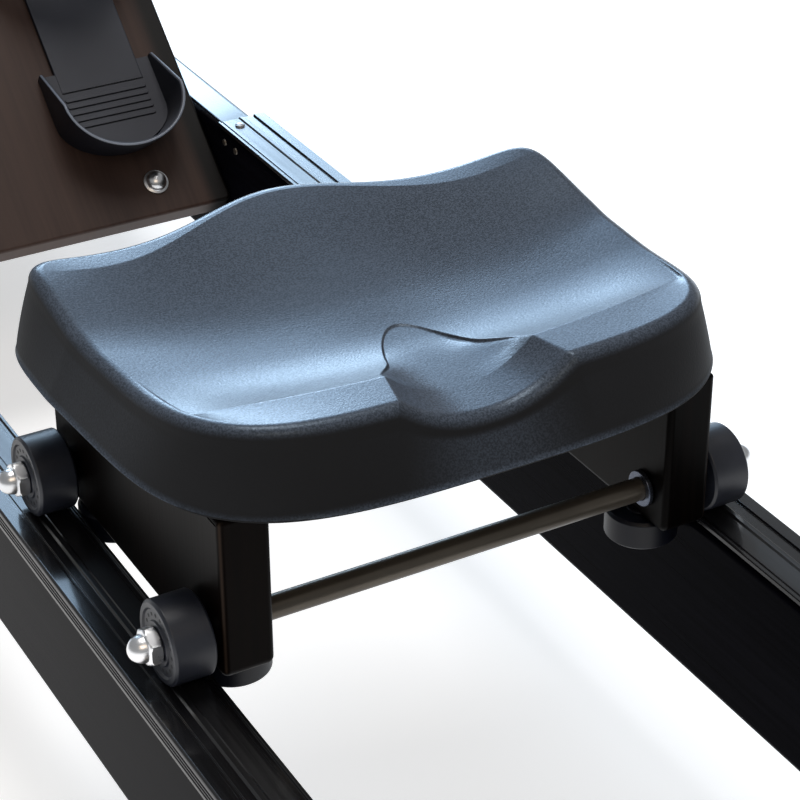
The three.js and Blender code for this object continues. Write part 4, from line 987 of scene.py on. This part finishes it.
def round_the_heel(inset, level, above):
    """Carries a section round the U. A point of it lies inset mm inside the outer face, above
    mm over a share of the wall's height H, which is 35 and falls in a line to 8 past the
    middle. A point at height n leans outwards: x grows by 2 n/35 and the heel by 10 n/35."""
    bend, leg = np.linspace(0, math.pi, 41), np.linspace(CUP_TOP, CUP_MIDDLE, 14)
    sideways = np.pad(np.cos(bend), 13, "edge")[:, None]
    back = np.pad(np.sin(bend), 13)[:, None]
    s = np.concatenate([leg[:-1], np.full(41, CUP_MIDDLE), leg[-2::-1]])[:, None]
    n = level * np.interp(s, [CUP_MIDDLE, CUP_TOP], [CUP_HEIGHT, CUP_LOW]) + above
    fall = 1 - n / CUP_HEIGHT
    x = sideways * (CUP_HALF - inset) * (1 - fall * 2 / CUP_HALF)
    y = s + back * (CUP_FOOT - CUP_MIDDLE + inset) * (1 - fall * 10 / 40)
    return skin(np.stack([x, y, n], -1))


# The wall is a flat bar 3 mm thick with a half-round top.
t = np.linspace(0, math.pi, 9)
wall = round_the_heel(np.concatenate([[0, 0], 1.5 - 1.5 * np.cos(t), [3, 3]]),
                      np.concatenate([[0, 0.5], np.ones(9), [0.5, 0]]),
                      np.concatenate([[0, 0], 1.5 * np.sin(t) - 1.5, [0, 0]]))
# A bead of 1 mm radius lies along the top, in a lighter plastic: a painted highlight on the rim.
lip = round_the_heel(1.3 - np.cos(around(12)), np.ones(12), np.sin(around(12)) - 0.8)
# The floor is the U's outline, with rounded ridges across it under the heel.
bend, half = np.linspace(0, math.pi, 33), CUP_HALF - 4.2
outline = np.vstack([[(half, CUP_TOP)], np.stack([half * np.cos(bend), CUP_MIDDLE - 27.5
                                                  * np.sin(bend)], 1), [(-half, CUP_TOP)]])[::-1]
cup = [wall, slab(outline, "z", 0, 3.6, 0.4)]
cup += [block((-30, s - 1.5, 3), (30, s + 1.5, 4.5), "z", 1.4, 0.6)
        for s in np.arange(74, 98, 5.2)]
# A long tongue slides up the board and ends in ribs.
cup += [block((-30.5, 100, 0), (30.5, 271, 4), "z", [0.5, 0.5, 8, 8], 1.2, 8, 5)]
cup += [block((-22, s - 1.2, 3.4), (22, s + 1.2, 4.9), "z", 1.1, 0.6)
        for s in np.arange(238, 264, 5)]
for side, sign in SIDES:
    for name, skins, look, stands_for in (("heel_cup", cup, cup_plastic, f"{side}_heel_slide"),
                                          ("cup_lip", [lip], lip_highlight_plastic, None)):
        piece(f"{side}_{name}", on_board(skins, sign * CUP_X, 0, CUP_REST), f"{side}_heel", look,
              stands_for)
print("cup wall", CUP_HEIGHT, "mm tall at the heel and", CUP_LOW, "at the toes")

# %% [markdown]
# ## Foot straps
#
# A band of webbing arches over each foot and is screwed to the board at both ends. Its section
# is carried along a half ellipse, and its lengths along and across are kept on the mesh, so
# that the weave follows the bend. A plastic slider sits on its crown.

# %% Bands
def band(path, width, thick, across):
    """A band along a path, its edges rounded by almost half its thickness. For each point it
    also gives the length along the path, the place across the width and zero, in metres, as
    the weave's own coordinates."""
    path = np.asarray(path, float)
    length = np.append(0, np.cumsum(np.linalg.norm(np.diff(path, axis=0), axis=1)))[:, None]
    section = rounded(rectangle(-width / 2, -thick / 2, width / 2, thick / 2), thick * 0.45, 4)
    spread = np.stack(np.broadcast_arrays(length, section[:, 0], 0.0), -1)
    return carried(section, path, across), spread.reshape(-1, 3) * MM


STRAP_S, HALF_SPAN, ARCH_HEIGHT, TAB_END = 214.0, 50.5, 73.0, 60
t = np.linspace(math.pi, 0, 61)
over = np.stack([HALF_SPAN * np.cos(t), 0 * t, 1.5 + ARCH_HEIGHT * np.sin(t)], 1)
tab = np.linspace((-TAB_END, 0, 1.5), (-HALF_SPAN - 3, 0, 1.5), 6)
made, spread = band(np.vstack([tab, over, tab[::-1] * (-1, 1, 1)]), 44, 2.9, (0, 1, 0))
crown = 1.5 + ARCH_HEIGHT
slider = [block((-16, -25, crown - 2.6), (16, 25, crown + 1.2), "z", 4, 0.9,
                hole=rounded(rectangle(-11, -22.4, 11, 22.4), 1.5)),
          block((-2, -22.6, crown + 0.2), (2, 22.6, crown + 2.2), "y", 0.8, 0.5)]
screws = [turned([(0, 2.6), (5, 2.6), (4.4, 4.4), (2.2, 4.9), (0, 4.9)], "z", (x, s, 0), 24)
          for x in (-57, 57) for s in (-13, 13)]
for side, sign in SIDES:
    place = (sign * CUP_X, STRAP_S, CUP_REST)
    piece(f"{side}_foot_band", on_board([made], *place), "frame", webbing,
          f"{side}_foot_strap", 50, spread)
    piece(f"{side}_strap_slider", on_board(slider, *place), "frame", buckle)
    piece(f"{side}_strap_screws", on_board(screws, *place), "frame", chrome)
print("flat length of a band:", round(spread[:, 0].max() / MM), "mm")

# %% [markdown]
# Domed nuts hold the slides' guides: one shows beside each cup, on a flat washer.

# %% Board nuts
NUT_X, NUT_S = 87, 24
dome = [(0, 0.3), (8.7, 0.3), (8.7, 1.2), (7.2, 1.6), (6.9, 3.0), (6.3, 4.8), (4.8, 6.3),
        (2.6, 7.2), (0, 7.4)]
for side, sign in SIDES:
    piece(f"{side}_board_nut", on_board([turned(dome, "z", (sign * NUT_X, NUT_S, 0), 48)]),
          "frame", chrome, crease=32)
print("board nuts at x", NUT_X)

# %% [markdown]
# ## Legs, feet and transport wheels
#
# Each leg is one panel: broad shoulders under the rails and a tongue that stands up between
# them, where bolts go through. Panels and feet are slabs, and the wheels are turned.

# %% Legs and feet
half = [(165.5, 12), (165.5, 84.8), (135.7, 84.8), (135.7, 159)]
outline = rounded(half + [(-x, z) for x, z in half[::-1]], [4, 4, 1.5, 14, 14, 1.5, 4, 4], 6)
for end, centre, thick in (("rear", -1005, 30), ("front", 1010, 36)):
    panel = slab(outline, "y", centre - thick / 2, centre + thick / 2, 2.5)
    piece(f"{end}_leg_panel", [panel], "frame", deck_wood, f"{end}_leg", crease=40)
    low, high = span(f"{end}_foot")
    pad = block((low[0] + 0.5, low[1], 0), (high[0] - 0.5, high[1], 11.9), "z", 3, 1.5)
    piece(f"{end}_rubber_foot", [pad], "frame", rubber, f"{end}_foot")
print("leg panels", len(outline), "points round")

# %% [markdown]
# Two small wheels stand clear of the floor in front and carry the machine when its rear end
# is lifted. Each is a tyre and a hub, turned from two outlines.

# %% Wheels and axle
WHEEL_PLACE, WHEEL_RADIUS, X0, X1 = (0, 1010.0, 36.0), 27, 165.8, 187.8
half, middle = (X1 - X0) / 2, (X0 + X1) / 2
tread = mirrored([(26.2, half - 9), (WHEEL_RADIUS, half - 8), (WHEEL_RADIUS, half - 1.6),
                  (25.4, half), (19, half)]) + (0, middle)
hub = [(5.3, X0 + 0.3), (19, X0 + 1.2), (19, X1 - 1.2), (15, X1 - 1.2), (13.5, X1 - 3.2),
       (9.5, X1 - 3.2), (8.5, X1 - 0.2), (5.3, X1 - 0.2)]
for side, sign in SIDES:
    for name, profile, soft, look, stands_for in (
            ("tyre", tread, 0.5, tyre, f"{side}_transport_wheel"),
            ("hub", hub, 0.4, roller_plastic, None)):
        piece(f"{side}_transport_{name}", [ring(profile, soft, "x", WHEEL_PLACE, 80, sign=sign)],
              f"{side}_wheel", look, stands_for)
pin = mirrored([(5, 40), (5, 188.1), (7.4, 188.1), (8, 188.7), (7.8, 190.6), (6.4, 191.8),
                (3.2, 192.1), (2.6, 190.4), (0, 190.4)])
piece("wheel_pin", [turned(pin, "x", WHEEL_PLACE, 40)], "frame", chrome, "transport_axle")
print("wheels", 2 * WHEEL_RADIUS, "mm across")

# %% [markdown]
# Barrel bolts hold the rails to the legs and decks. Only their domed heads show, in pairs.

# %% Rail bolts
def bolt_head(axis, centre, start, direction, radius=7.0):
    """A low dome with a six-sided socket sunk in it, 1.8 mm deep."""
    rows = [(radius, 0.0)]
    rows += [(3.6 + (radius - 3.6) * math.cos(t), 0.5 + 1.8 * math.sin(t))
             for t in np.linspace(0, math.pi / 2, 7)[:-1]]
    rows += [(3.4, 2.3), (hexagon(2.5), 2.1), (hexagon(2.5), 0.5), (0, 0.5)]
    return stacked(rows, axis, centre, start, direction)


HEADS = ((-1005, 110), (-1005, 145), (600, 105), (600, 150), (960, 105), (960, 150))
heads = [bolt_head("x", (0, y, z), sign * (RAIL_X[1] - 0.1), sign) for _, sign in SIDES
         for y, z in HEADS]
piece("rail_bolt_heads", heads, "frame", plated, crease=30)
print("rail bolts:", len(heads))

# %% [markdown]
# Rubber-faced stops close both ends of the seat's travel, and a small screw holds the end of
# each strip.

# %% Stops and small screws
STOP_Y = (-1040, -1008)
top_screw = [(0, CAP_TOP - 1), (3.4, CAP_TOP - 1), (3.2, CAP_TOP + 0.4), (1.8, CAP_TOP + 1.0),
             (0, CAP_TOP + 1.0)]
for side, sign in SIDES:
    low, high = sorted((sign * 142.0, sign * 159.0))
    stop = [block((low, STOP_Y[0], CAP_TOP - 1.4), (high, STOP_Y[1] - 4, CAP_TOP + 15), "z", 3, 2),
            block((low + 2, STOP_Y[1] - 4.5, CAP_TOP + 2), (high - 2, STOP_Y[1], CAP_TOP + 13),
                  "y", 3, 1.4)]
    piece(f"{side}_travel_stop", stop, "frame", rubber)
    upper = [turned(top_screw, "z", (sign * 147.5, y, 0), 24) for y in (237, -1000)]
    piece(f"{side}_strip_screws", upper, "frame", chrome)
    inner = [turned([(0, 0), (2.6, 0), (2.2, -sign * 1.0), (0, -sign * 1.3)], "x",
                    (sign * 136.2, y, 174), 20) for y in (221, 238)]
    piece(f"{side}_strip_side_screws", inner, "frame", black_steel)
print("stops between y", *STOP_Y)

# %% [markdown]
# ## Decks and posts
#
# The tank stands between two boards with generous corners, held apart by four posts.

# %% Decks
DECK_HALF, DECK_Y, DECK_THICK = 264, (545, 1042), 18
for name, z in (("lower", 182.5), ("upper", 414.5)):
    deck = block((-DECK_HALF, DECK_Y[0], z), (DECK_HALF, DECK_Y[1], z + DECK_THICK), "z", 46, 4,
                 16, 6)
    piece(f"{name}_deck_board", [deck], "frame", deck_wood, f"{name}_deck")
for end, side, _ in CORNERS:
    piece(f"{end}_{side}_post_turned", [block(*span(f"{end}_{side}_post"), "z", 4, 0.3)], "frame",
          dark_wood, f"{end}_{side}_post")
heads = [bolt_head("z", (x, y, 0), z + DECK_THICK - 0.1, 1, 8) for x in (-217, 217)
         for y in (592, 995)]
piece("deck_bolt_heads", heads, "frame", plated, crease=30)
print("points in a deck:", len(deck[0]))

# %% [markdown]
# ## Tank
#
# The tank is two thin clear mouldings that meet in a flange, with a black gasket between them
# and screws round the edge. Clear plastic is shown by a low alpha and a sharp gloss, because a
# refracting shell would need many light bounces for each of its four walls. The water is a
# separate body inside, with a level top.

# %% Clear shell
clear = Finish("tank_clear", "tank_shell", Base_Color=tone(214, 228, 236), Roughness=0.06,
               Specular_IOR_Level=0.6)
haze = clear.noise(14, 3)
grazing = clear.node("ShaderNodeLayerWeight", {"Blend": 0.35}, "Facing")
clear.plug(clear.shader.inputs["Alpha"], grazing * 0.45 + haze * 0.08 + 0.1)
clear.paint(clear.mix(haze, tone(204, 220, 230), tone(224, 236, 242)), haze * 0.1 + 0.02)
clear.emboss(clear.noise(40, 2), 0.05)
TANK_Y, TANK_R, CURVE, WALL, BOWL, LID = 793.0, 230.0, 42.0, 4.0, 80, 70
BOWL_Z, LID_Z = 200.5, 280.8


def tank_side(height, inset):
    """The side from the wall up round a quarter circle of 42 mm to the flat end."""
    t = np.linspace(0, math.pi / 2, 14)
    return np.stack([TANK_R - inset - CURVE + CURVE * np.cos(t),
                     height - inset - CURVE + CURVE * np.sin(t)], 1)


def upended(profile, height):
    """A profile upside down, from the far end back."""
    return (profile * (1, -1) + (0, height))[::-1]


bowl = np.vstack([[(0, 0)], upended(tank_side(BOWL, 0), BOWL), [
    (230, 74.2), (231, 75), (239.4, 75), (240, 75.6), (240, 79.4), (239.4, 80), (226.6, 80),
    (226, 79.4)], upended(tank_side(BOWL, WALL), BOWL)[::-1], [
    (14.3, 4), (14.3, 15.4), (13.7, 16), (8.9, 16), (8.3, 15.4), (8.3, 4), (0, 4)]])
lid = np.vstack([[
    (226, 0.6), (226.6, 0), (239.4, 0), (240, 0.6), (240, 4.4), (239.4, 5), (231, 5), (230, 5.8)],
    tank_side(LID, 0), [(34.6, 70), (34, 69.4), (34, 66.6), (34.6, 66)],
    tank_side(LID, WALL)[::-1]])
piece("clear_bowl", [turned(bowl, "z", (0, TANK_Y, BOWL_Z), 144)], "frame", clear, "tank_bowl")
piece("clear_lid", [turned(lid, "z", (0, TANK_Y, LID_Z), 144, True)], "frame", clear, "tank_lid")
print("tank", 2 * TANK_R, "mm across,", len(bowl), "points in the bowl's profile")

# %% [markdown]
# A black gasket fills the join, and small screws with washers clamp the two flanges together.

# %% Gasket and screws
gasket = ring(rectangle(226.5, 279.7, 240.8, 281.7), 0.5, "z", (0, TANK_Y, 0), 144)
piece("tank_gasket", [gasket], "frame", rubber)
screws, SCREW_CIRCLE = [], 235.4
for a in around(16) + math.pi / 16:
    at = (SCREW_CIRCLE * math.cos(a), TANK_Y + SCREW_CIRCLE * math.sin(a), 0)
    screws += [ring(rectangle(2.6, 274.6, 5.4, 275.5), 0.2, "z", at, 20),
               turned([(0, 285.4), (4.6, 285.4), (4.6, 286.4), (4.0, 287.2), (0, 287.4)], "z",
                      at, 20)]
piece("tank_screws", screws, "frame", chrome)
print("screws round the flange:", len(screws) // 2)

# %% [markdown]
# A pale blue-green water fills the bowl to a little over the join. Its surface has slow waves,
# made by two crossing sines that fade towards the wall.

# %% Water
water = Finish("tank_water", "tank_shell", Base_Color=tone(120, 186, 214), Roughness=0.03,
               Alpha=0.5)
ripples = water.noise(18, 3)
depth_tint = water.axis("Z").between(0.2, 0.31)
water.paint(water.mix(depth_tint, tone(92, 164, 200), tone(158, 212, 232)), ripples * 0.05 + 0.01)
water.emboss(ripples, 0.6)
WATER_TOP = 308.0


def water_skin():
    """Below, the bowl's inner profile less 0.4 mm; above, rings whose height is the level
    plus 1.2 mm of sin(x/21) cos(y/27), times the share left to the wall."""
    a = around(144)
    rows = [(0.0, 4.4), *upended(tank_side(BOWL, WALL + 0.4), BOWL), (225.6, 107.0)]
    grid = [oriented(r * np.cos(a), r * np.sin(a), BOWL_Z + h + 0 * a, "z") for r, h in rows]
    for r in np.linspace(225.2, 0, 40):
        x, y = r * np.cos(a), r * np.sin(a)
        wave = 1.2 * np.sin(x / 21) * np.cos(y / 27) * (1 - (r / 226) ** 4)
        grid.append(np.stack([x, y, WATER_TOP + wave], 1))
    return skin(np.array(grid) + (0, TANK_Y, 0))


piece("tank_water_body", [water_skin()], "frame", water)
print("water level at", WATER_TOP, "mm")

# %% [markdown]
# ## Paddle, shaft and bearing
#
# Six flat blades on a hub. Each blade is a slab with rounded corners and a thickened root, and
# the six are the same points turned about the shaft.

# %% Paddle
SHAFT, BLADE_REACH = np.array([0, TANK_Y, 0]), 160
blade = slab(rounded(rectangle(14, 222.5, BLADE_REACH, 310.5), [1, 9, 9, 1], 6), "y", -3.2, 3.2,
             1.2)
root = slab(rounded([(14, 224), (46, 226), (38, 307), (14, 309)], [1, 3, 3, 1], 5), "y",
            -3.5, 3.5, 0.8)
paddle = []
for a in around(6):
    c, s = math.cos(a), math.sin(a)
    turn_z = np.array([[c, s, 0], [-s, c, 0], [0, 0, 1]])
    paddle += [(points @ turn_z + SHAFT, faces) for points, faces in (blade, root)]
paddle.append(ring([(8.4, 222.5), (17, 222.5), (20, 225.5), (20, 307.5), (17, 310.5),
                    (8.4, 310.5)], 0.6, "z", SHAFT, 64))
piece("six_blade_paddle", paddle, "drum", paddle_grey, "paddle")
rod = [(0, 204.8), (7.2, 204.8), (8, 205.6), (8, 440.7), (7.2, 441.5), (0, 441.5)]
piece("polished_shaft", [turned(rod, "z", SHAFT, 48)], "drum", chrome, "paddle_shaft")
housing = [(8.4, 414.6), (20, 414.6), (20, 432.7), (27, 432.7), (27, 436.6), (25.8, 437.7),
           (21, 437.7), (20, 436.7), (12.5, 436.7), (11.5, 437.7), (8.4, 437.7)]
piece("bearing_housing", [ring(housing, 0.35, "z", SHAFT, 72)], "frame", black_steel,
      "shaft_bearing", crease=30)
print("blades reach", BLADE_REACH, "mm")

# %% [markdown]
# ## Drum, straps and guide pulley
#
# The drive strap is wound on the drum, leaves it at a tangent, bends round the guide pulley
# and runs to the handle. The wound turns are one spiral.

# %% Drum
drum = [(8.4, 352.8), (30, 352.8), (30, 354.8), (24, 354.8), (24, 362.8), (52, 362.8),
        (52, 364.5), (45, 364.5), (45, 383.1), (52, 383.1), (52, 384.8), (16, 384.8),
        (14, 383.4), (8.4, 383.4)]
piece("strap_drum_turned", [ring(drum, 0.4, "z", SHAFT, 128, 3)], "drum", paddle_grey,
      "strap_drum", crease=30)
STRAP_Z, INNER_TURN, OUTER_TURN, TURN_PITCH, TURNS = 373.8, 46.3, 50.3, 1.98, 3


def strap(name, path, body, stands_for=None, start=0):
    """A piece of the drive strap along a path of x and y at the strap's height. Its weave
    goes on from the length at its start."""
    path = np.column_stack([path, np.full(len(path), STRAP_Z)])
    made, spread = band(path, 17.6, 1.8, (0, 0, 1))
    return piece(name, [made], body, drive_web, stands_for, 50, spread + (start, 0, 0))


t = np.linspace(0, TURNS * math.tau, TURNS * 90)
radius = np.minimum(INNER_TURN + TURN_PITCH * t / math.tau, OUTER_TURN)
strap("wound_strap", np.stack([radius * np.cos(t), TANK_Y + radius * np.sin(t)], 1), "drum")
t = around(16)
piece("wound_recoil_cord", [turned(np.stack([27.3 + 2.9 * np.cos(t), 358.8 + 2.9 * np.sin(t)], 1),
                                   "z", SHAFT, 96, True)], "drum", drive_web)
print("wound strap up to a radius of", radius.max(), "mm")

# %% [markdown]
# The strap leaves the outer turn where a straight line to the pulley touches it, so the angle
# is an arcsine. Past the pulley, the free length runs straight to the handle.

# %% Strap to the pulley and on to the handle
PULLEY, PULLEY_TURN = np.array([16.3, 566.0, 0]), 16.3
LEAD_Y = 567.83  # where the line that touches both the drum and the pulley crosses x = 0
lean = math.asin(OUTER_TURN / (TANK_Y - LEAD_Y))
leave = np.array([OUTER_TURN * math.cos(lean), TANK_Y - OUTER_TURN * math.sin(lean)])
bend = np.linspace(math.pi - lean, math.pi, 8)
curve = PULLEY[:2] + PULLEY_TURN * np.stack([np.cos(bend), np.sin(bend)], 1)
straight = np.linspace(0, 1, 24)[:-1, None]
strap("strap_lead", np.vstack([leave * (1 - straight) + curve[0] * straight, curve,
                               [(0, 560), (0, 556)]]), "frame", "drive_strap")
free_strap = strap("free_strap", [(0, y) for y in np.linspace(556, 491.5, 90)], None, start=0.25)
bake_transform(free_strap)
wheel = [(4.3, 362.5), (19, 362.5), (19, 364.2), (15.2, 364.6), (15, 373.8), (15.2, 383.0),
         (19, 383.4), (19, 384.1), (9, 384.1), (8, 383.2), (4.3, 383.2)]
piece("guide_pulley_wheel", [ring(wheel, 0.3, "z", PULLEY, 80, 3)], "pulley", roller_plastic,
      "guide_pulley", crease=30)
low, high = (corner[2] for corner in span("guide_pulley_pin"))
half, middle = (high - low) / 2, (low + high) / 2
bolt = mirrored([(4, half - 2), (7, half - 2), (7, half - 0.7), (5.6, half), (0, half)])
piece("guide_pulley_bolt", [turned(bolt, "z", PULLEY + (0, 0, middle), 40)], "frame", chrome,
      "guide_pulley_pin", crease=30)
print("strap leaves the drum at", leave.round(1))

# %% [markdown]
# A thin cord on the drum's small spool winds the strap back. Its weave is the webbing's, laid
# along two lengths that run round the cord as screws of opposite hand.

# %% Recoil cord
CORD_X, CORD_Z, CORD_Y, CORD_RADIUS = -27.3, 358.8, (793, 1001), 3
path = np.linspace((CORD_X, CORD_Y[0], CORD_Z), (CORD_X, CORD_Y[1], CORD_Z), 60)
section = CORD_RADIUS * np.stack([np.cos(around(20)), np.sin(around(20))], 1)
length, round_it = path[:, 1:2] - CORD_Y[0], around(20) * CORD_RADIUS
spread = np.stack(np.broadcast_arrays(length + round_it, length - round_it, 0.0), -1)
piece("recoil_cord_run", [carried(section, path, (1, 0, 0))], "frame", drive_web,
      "recoil_cord", 60, spread.reshape(-1, 3) * MM)
anchor = [block((-35.3, 997, 354.8), (-19.3, 1013, 414.3), "z", 2.5, 1.0),
          turned([(0, 1012.8), (5, 1012.8), (4.4, 1014.6), (0, 1015)], "y", (CORD_X, 0, CORD_Z),
                 32)]
piece("cord_anchor", anchor, "frame", black_steel)
print("recoil cord", CORD_Y[1] - CORD_Y[0], "mm long and", 2 * CORD_RADIUS, "mm thick, taut")

# %% [markdown]
# ## Handle and its rest
#
# The handle is a steel bar with foam at each end. The foam has fine rings where fingers
# close round it, which are a sine in the radius. A clevis takes the strap in the middle.

# %% Handle
HANDLE, HANDLE_HALF = np.array([0, 464.0, STRAP_Z]), 223
bar = mirrored([(11, 40), (11, 86), (11, 212), (10, 213), (0, 213)])
clevis = [slab(rounded([(-13, 472), (13, 472), (15, 480), (15, 489), (11, 491), (-11, 491),
                        (-15, 489), (-15, 480)], 1.5, 4), "z", 368.4, 379.2, 1.2),
          turned(mirrored([(13.6, 21), (11, 22), (10.5, 22)]), "x", HANDLE, 56, True),
          turned([(0, 363.2), (3.8, 363.2), (4.4, 364), (4.4, 367.6), (4.4, 380), (4.4, 383.4),
                  (3.8, 384.2), (0, 384.2)], "z", (0, 483, 0), 28)]
piece("handle_rod", [turned(bar, "x", HANDLE, 48)], "handle", black_steel, "handle_bar")
piece("strap_clevis", clevis, "handle", plated)
h = np.linspace(86, 219, 260)
ringed = 15.3 + 0.55 * np.sin(h * math.tau / 7) * smooth(92, 96, h) * smooth(212, 208, h)
grip = np.vstack([[(0, 219.2), (11.4, 219.2), (11.4, 83), (14.2, 83), (15.2, 84.2)],
                  np.stack([ringed, h], 1), [(14.9, 221.4), (13.4, 222.8), (0, HANDLE_HALF)]])
for side, sign in SIDES:
    piece(f"{side}_foam_grip", [turned(grip * (1, sign), "x", HANDLE, 48)], "handle", foam,
          f"{side}_grip", crease=50)
print("handle", 2 * HANDLE_HALF, "mm long")

# %% [markdown]
# ## Monitor
#
# The monitor's pieces are worked out upright, with its hinge at the origin, and then leaned
# back by 28 degrees. Its face is a shell with a raised frame, a grey-green display and small
# keys. The digits are only example figures, made of seven bars each.

# %% Monitor shell
HINGE, FACE_LEAN = np.array([0, 632.0, 494.5]), math.radians(28)


def monitor_piece(name, skins, finish, stands_for=None, crease=35):
    """A piece worked out upright, leaned back about the hinge, which rides on the monitor."""
    piece(name, leaned(skins, -FACE_LEAN, HINGE), "monitor", finish, stands_for, crease)


outline = rounded(rectangle(-76, -46, 76, 46), 10, 10)
case = [slab(offset(outline, -0.6), "y", -28.6, -8.6, 4.5, steps=7),
        slab(outline, "y", -30.6, -25.6, 2.2, rounded(rectangle(-62, -18, 62, 36), 5, 10), 6)]
ear = rounded([(-9.2, -9), (4, -8), (8, -3), (8, 3), (4, 8), (-9.2, 9)],
              [0.5, 3, 3, 3, 3, 0.5], 5)
case += [slab(ear, "x", *sorted((sign * 14.3, sign * 21.3)), 0.8) for _, sign in SIDES]
vents = [block((x - 1, -9.0, 10), (x + 1, -8.3, 34), "y", 0.9, 0.1) for x in range(-50, 51, 6)
         if abs(x) > 24]
monitor_piece("monitor_case", case, shell_plastic, "monitor", 40)
monitor_piece("monitor_vents", vents, rubber)
print("monitor top", span("monitor")[1][2].round(1))

# %% [markdown]
# The display is a pane with fine dots in it. Its figures are thin blocks of dark plastic, made
# from a table of bars, so that they stay sharp from as near as one likes.

# %% Display
display = Finish("display_panel", "monitor_shell", Roughness=0.18, Specular_IOR_Level=0.6,
                 Coat_Weight=0.6)
dots, glow = display.cells(1400), display.noise(12, 2)
display.paint(display.mix(dots * 0.5 + glow * 0.3, tone(126, 138, 124), tone(146, 158, 142)),
              glow * 0.08 + 0.12)
display.emboss(dots, 0.004)
ink = Finish("display_ink", "monitor_shell", Roughness=0.4)
ink.paint(ink.mix(ink.noise(200, 2), tone(20, 22, 24), tone(34, 37, 38)), ink.noise(90) * 0.2 + 0.3)
panel = block((-62.5, -29.1, -18.5), (62.5, -27, 36.5), "y", 5, 0.4, 8)
monitor_piece("display_panel", [panel], display)
BARS = {"0": "abcdef", "1": "bc", "2": "abged", "3": "abgcd", "4": "fgbc", "6": "afgedc",
        "8": "abcdefg"}
PLACES = {"a": (0.5, 2, 1), "b": (1, 1.5, 0), "c": (1, 0.5, 0), "d": (0.5, 0, 1),
          "e": (0, 0.5, 0), "f": (0, 1.5, 0), "g": (0.5, 1, 1)}


def mark(x, z, half_x, half_z, corner):
    """A thin block that stands a quarter of a millimetre out of the display."""
    return block((x - half_x, -29.35, z - half_z), (x + half_x, -29.0, z + half_z), "y",
                 corner, 0.05)


def figures(text, x, z, size):
    """Seven-bar digits: each bar is a thin block, flat or upright, on a grid one size wide
    and two tall. A colon takes two dots."""
    marks = []
    for letter in text:
        for name in BARS.get(letter, ""):
            right, up, flat = PLACES[name]
            halves = (0.42 * size, 0.09 * size)[::1 if flat else -1]
            marks.append(mark(x + right * size, z + up * size, *halves, 0.06 * size))
        if letter == ":":
            marks += [mark(x, z + up * size, 0.1 * size, 0.1 * size, 0.04 * size)
                      for up in (0.6, 1.4)]
        x += size * (0.7 if letter == ":" else 1.7)
    return marks


shown = [mark_made for line in (("12:30", -54, 10, 8), ("1840", 8, 12, 6), ("26", -54, -12, 5),
                                ("148", 8, -12, 5)) for mark_made in figures(*line)]
monitor_piece("display_figures", shown, ink)
keys = [block((x - 8, -32.0, -37), (x + 8, -30, -27), "y", 3.5, 0.7) for x in (-50, -25, 0, 25, 50)]
monitor_piece("monitor_keys", keys, key_rubber)
print("bars in the display:", len(shown), "keys:", len(keys))

# %% [markdown]
# A moulded arm rises from the upper deck and narrows to the hinge. Its outline is carried
# across the machine, and a pin joins it to the monitor's two ears.

# %% Monitor arm
outline = rounded([(-23, 0), (23, 0), (23, 8), (12, 11), (7, 20), (4.6, 54), (-4.6, 54),
                   (-7, 20), (-12, 11), (-23, 8)], [1, 1, 3, 8, 20, 1, 1, 20, 8, 3], 6)
arm = [slab(outline + (632, 432.5), "x", -14, 14, 2.2, steps=5),
       turned(mirrored([(8, 13), (6.6, 14), (0, 14)]), "x", HINGE, 48),
       turned(mirrored([(3, 21.3), (5, 21.4), (4.4, 22.4), (0, 22.6)]), "x", HINGE, 32)]
piece("monitor_bracket", arm, "frame", shell_plastic, "monitor_arm", crease=40)
screws = [turned([(0, 440.3), (3.6, 440.3), (3.2, 442.4), (0, 443)], "z", (x, y, 0), 24)
          for x in (-8, 8) for y in (614, 650)]
piece("bracket_screws", screws, "frame", chrome)
print("hinge height", HINGE[2])

# %% [markdown]
# ## Solids that stay as they are
#
# Two plain steel brackets keep their CAD shape, and only take a finish.

# %% Carried-over solids
for name in ("seat_base_plate", "handle_rest"):
    materials = bpy.data.objects[name].data.materials
    materials.clear()
    materials.append(black_steel.material)
print("solids still shown:", [n for n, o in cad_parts.items() if not o.hide_render])
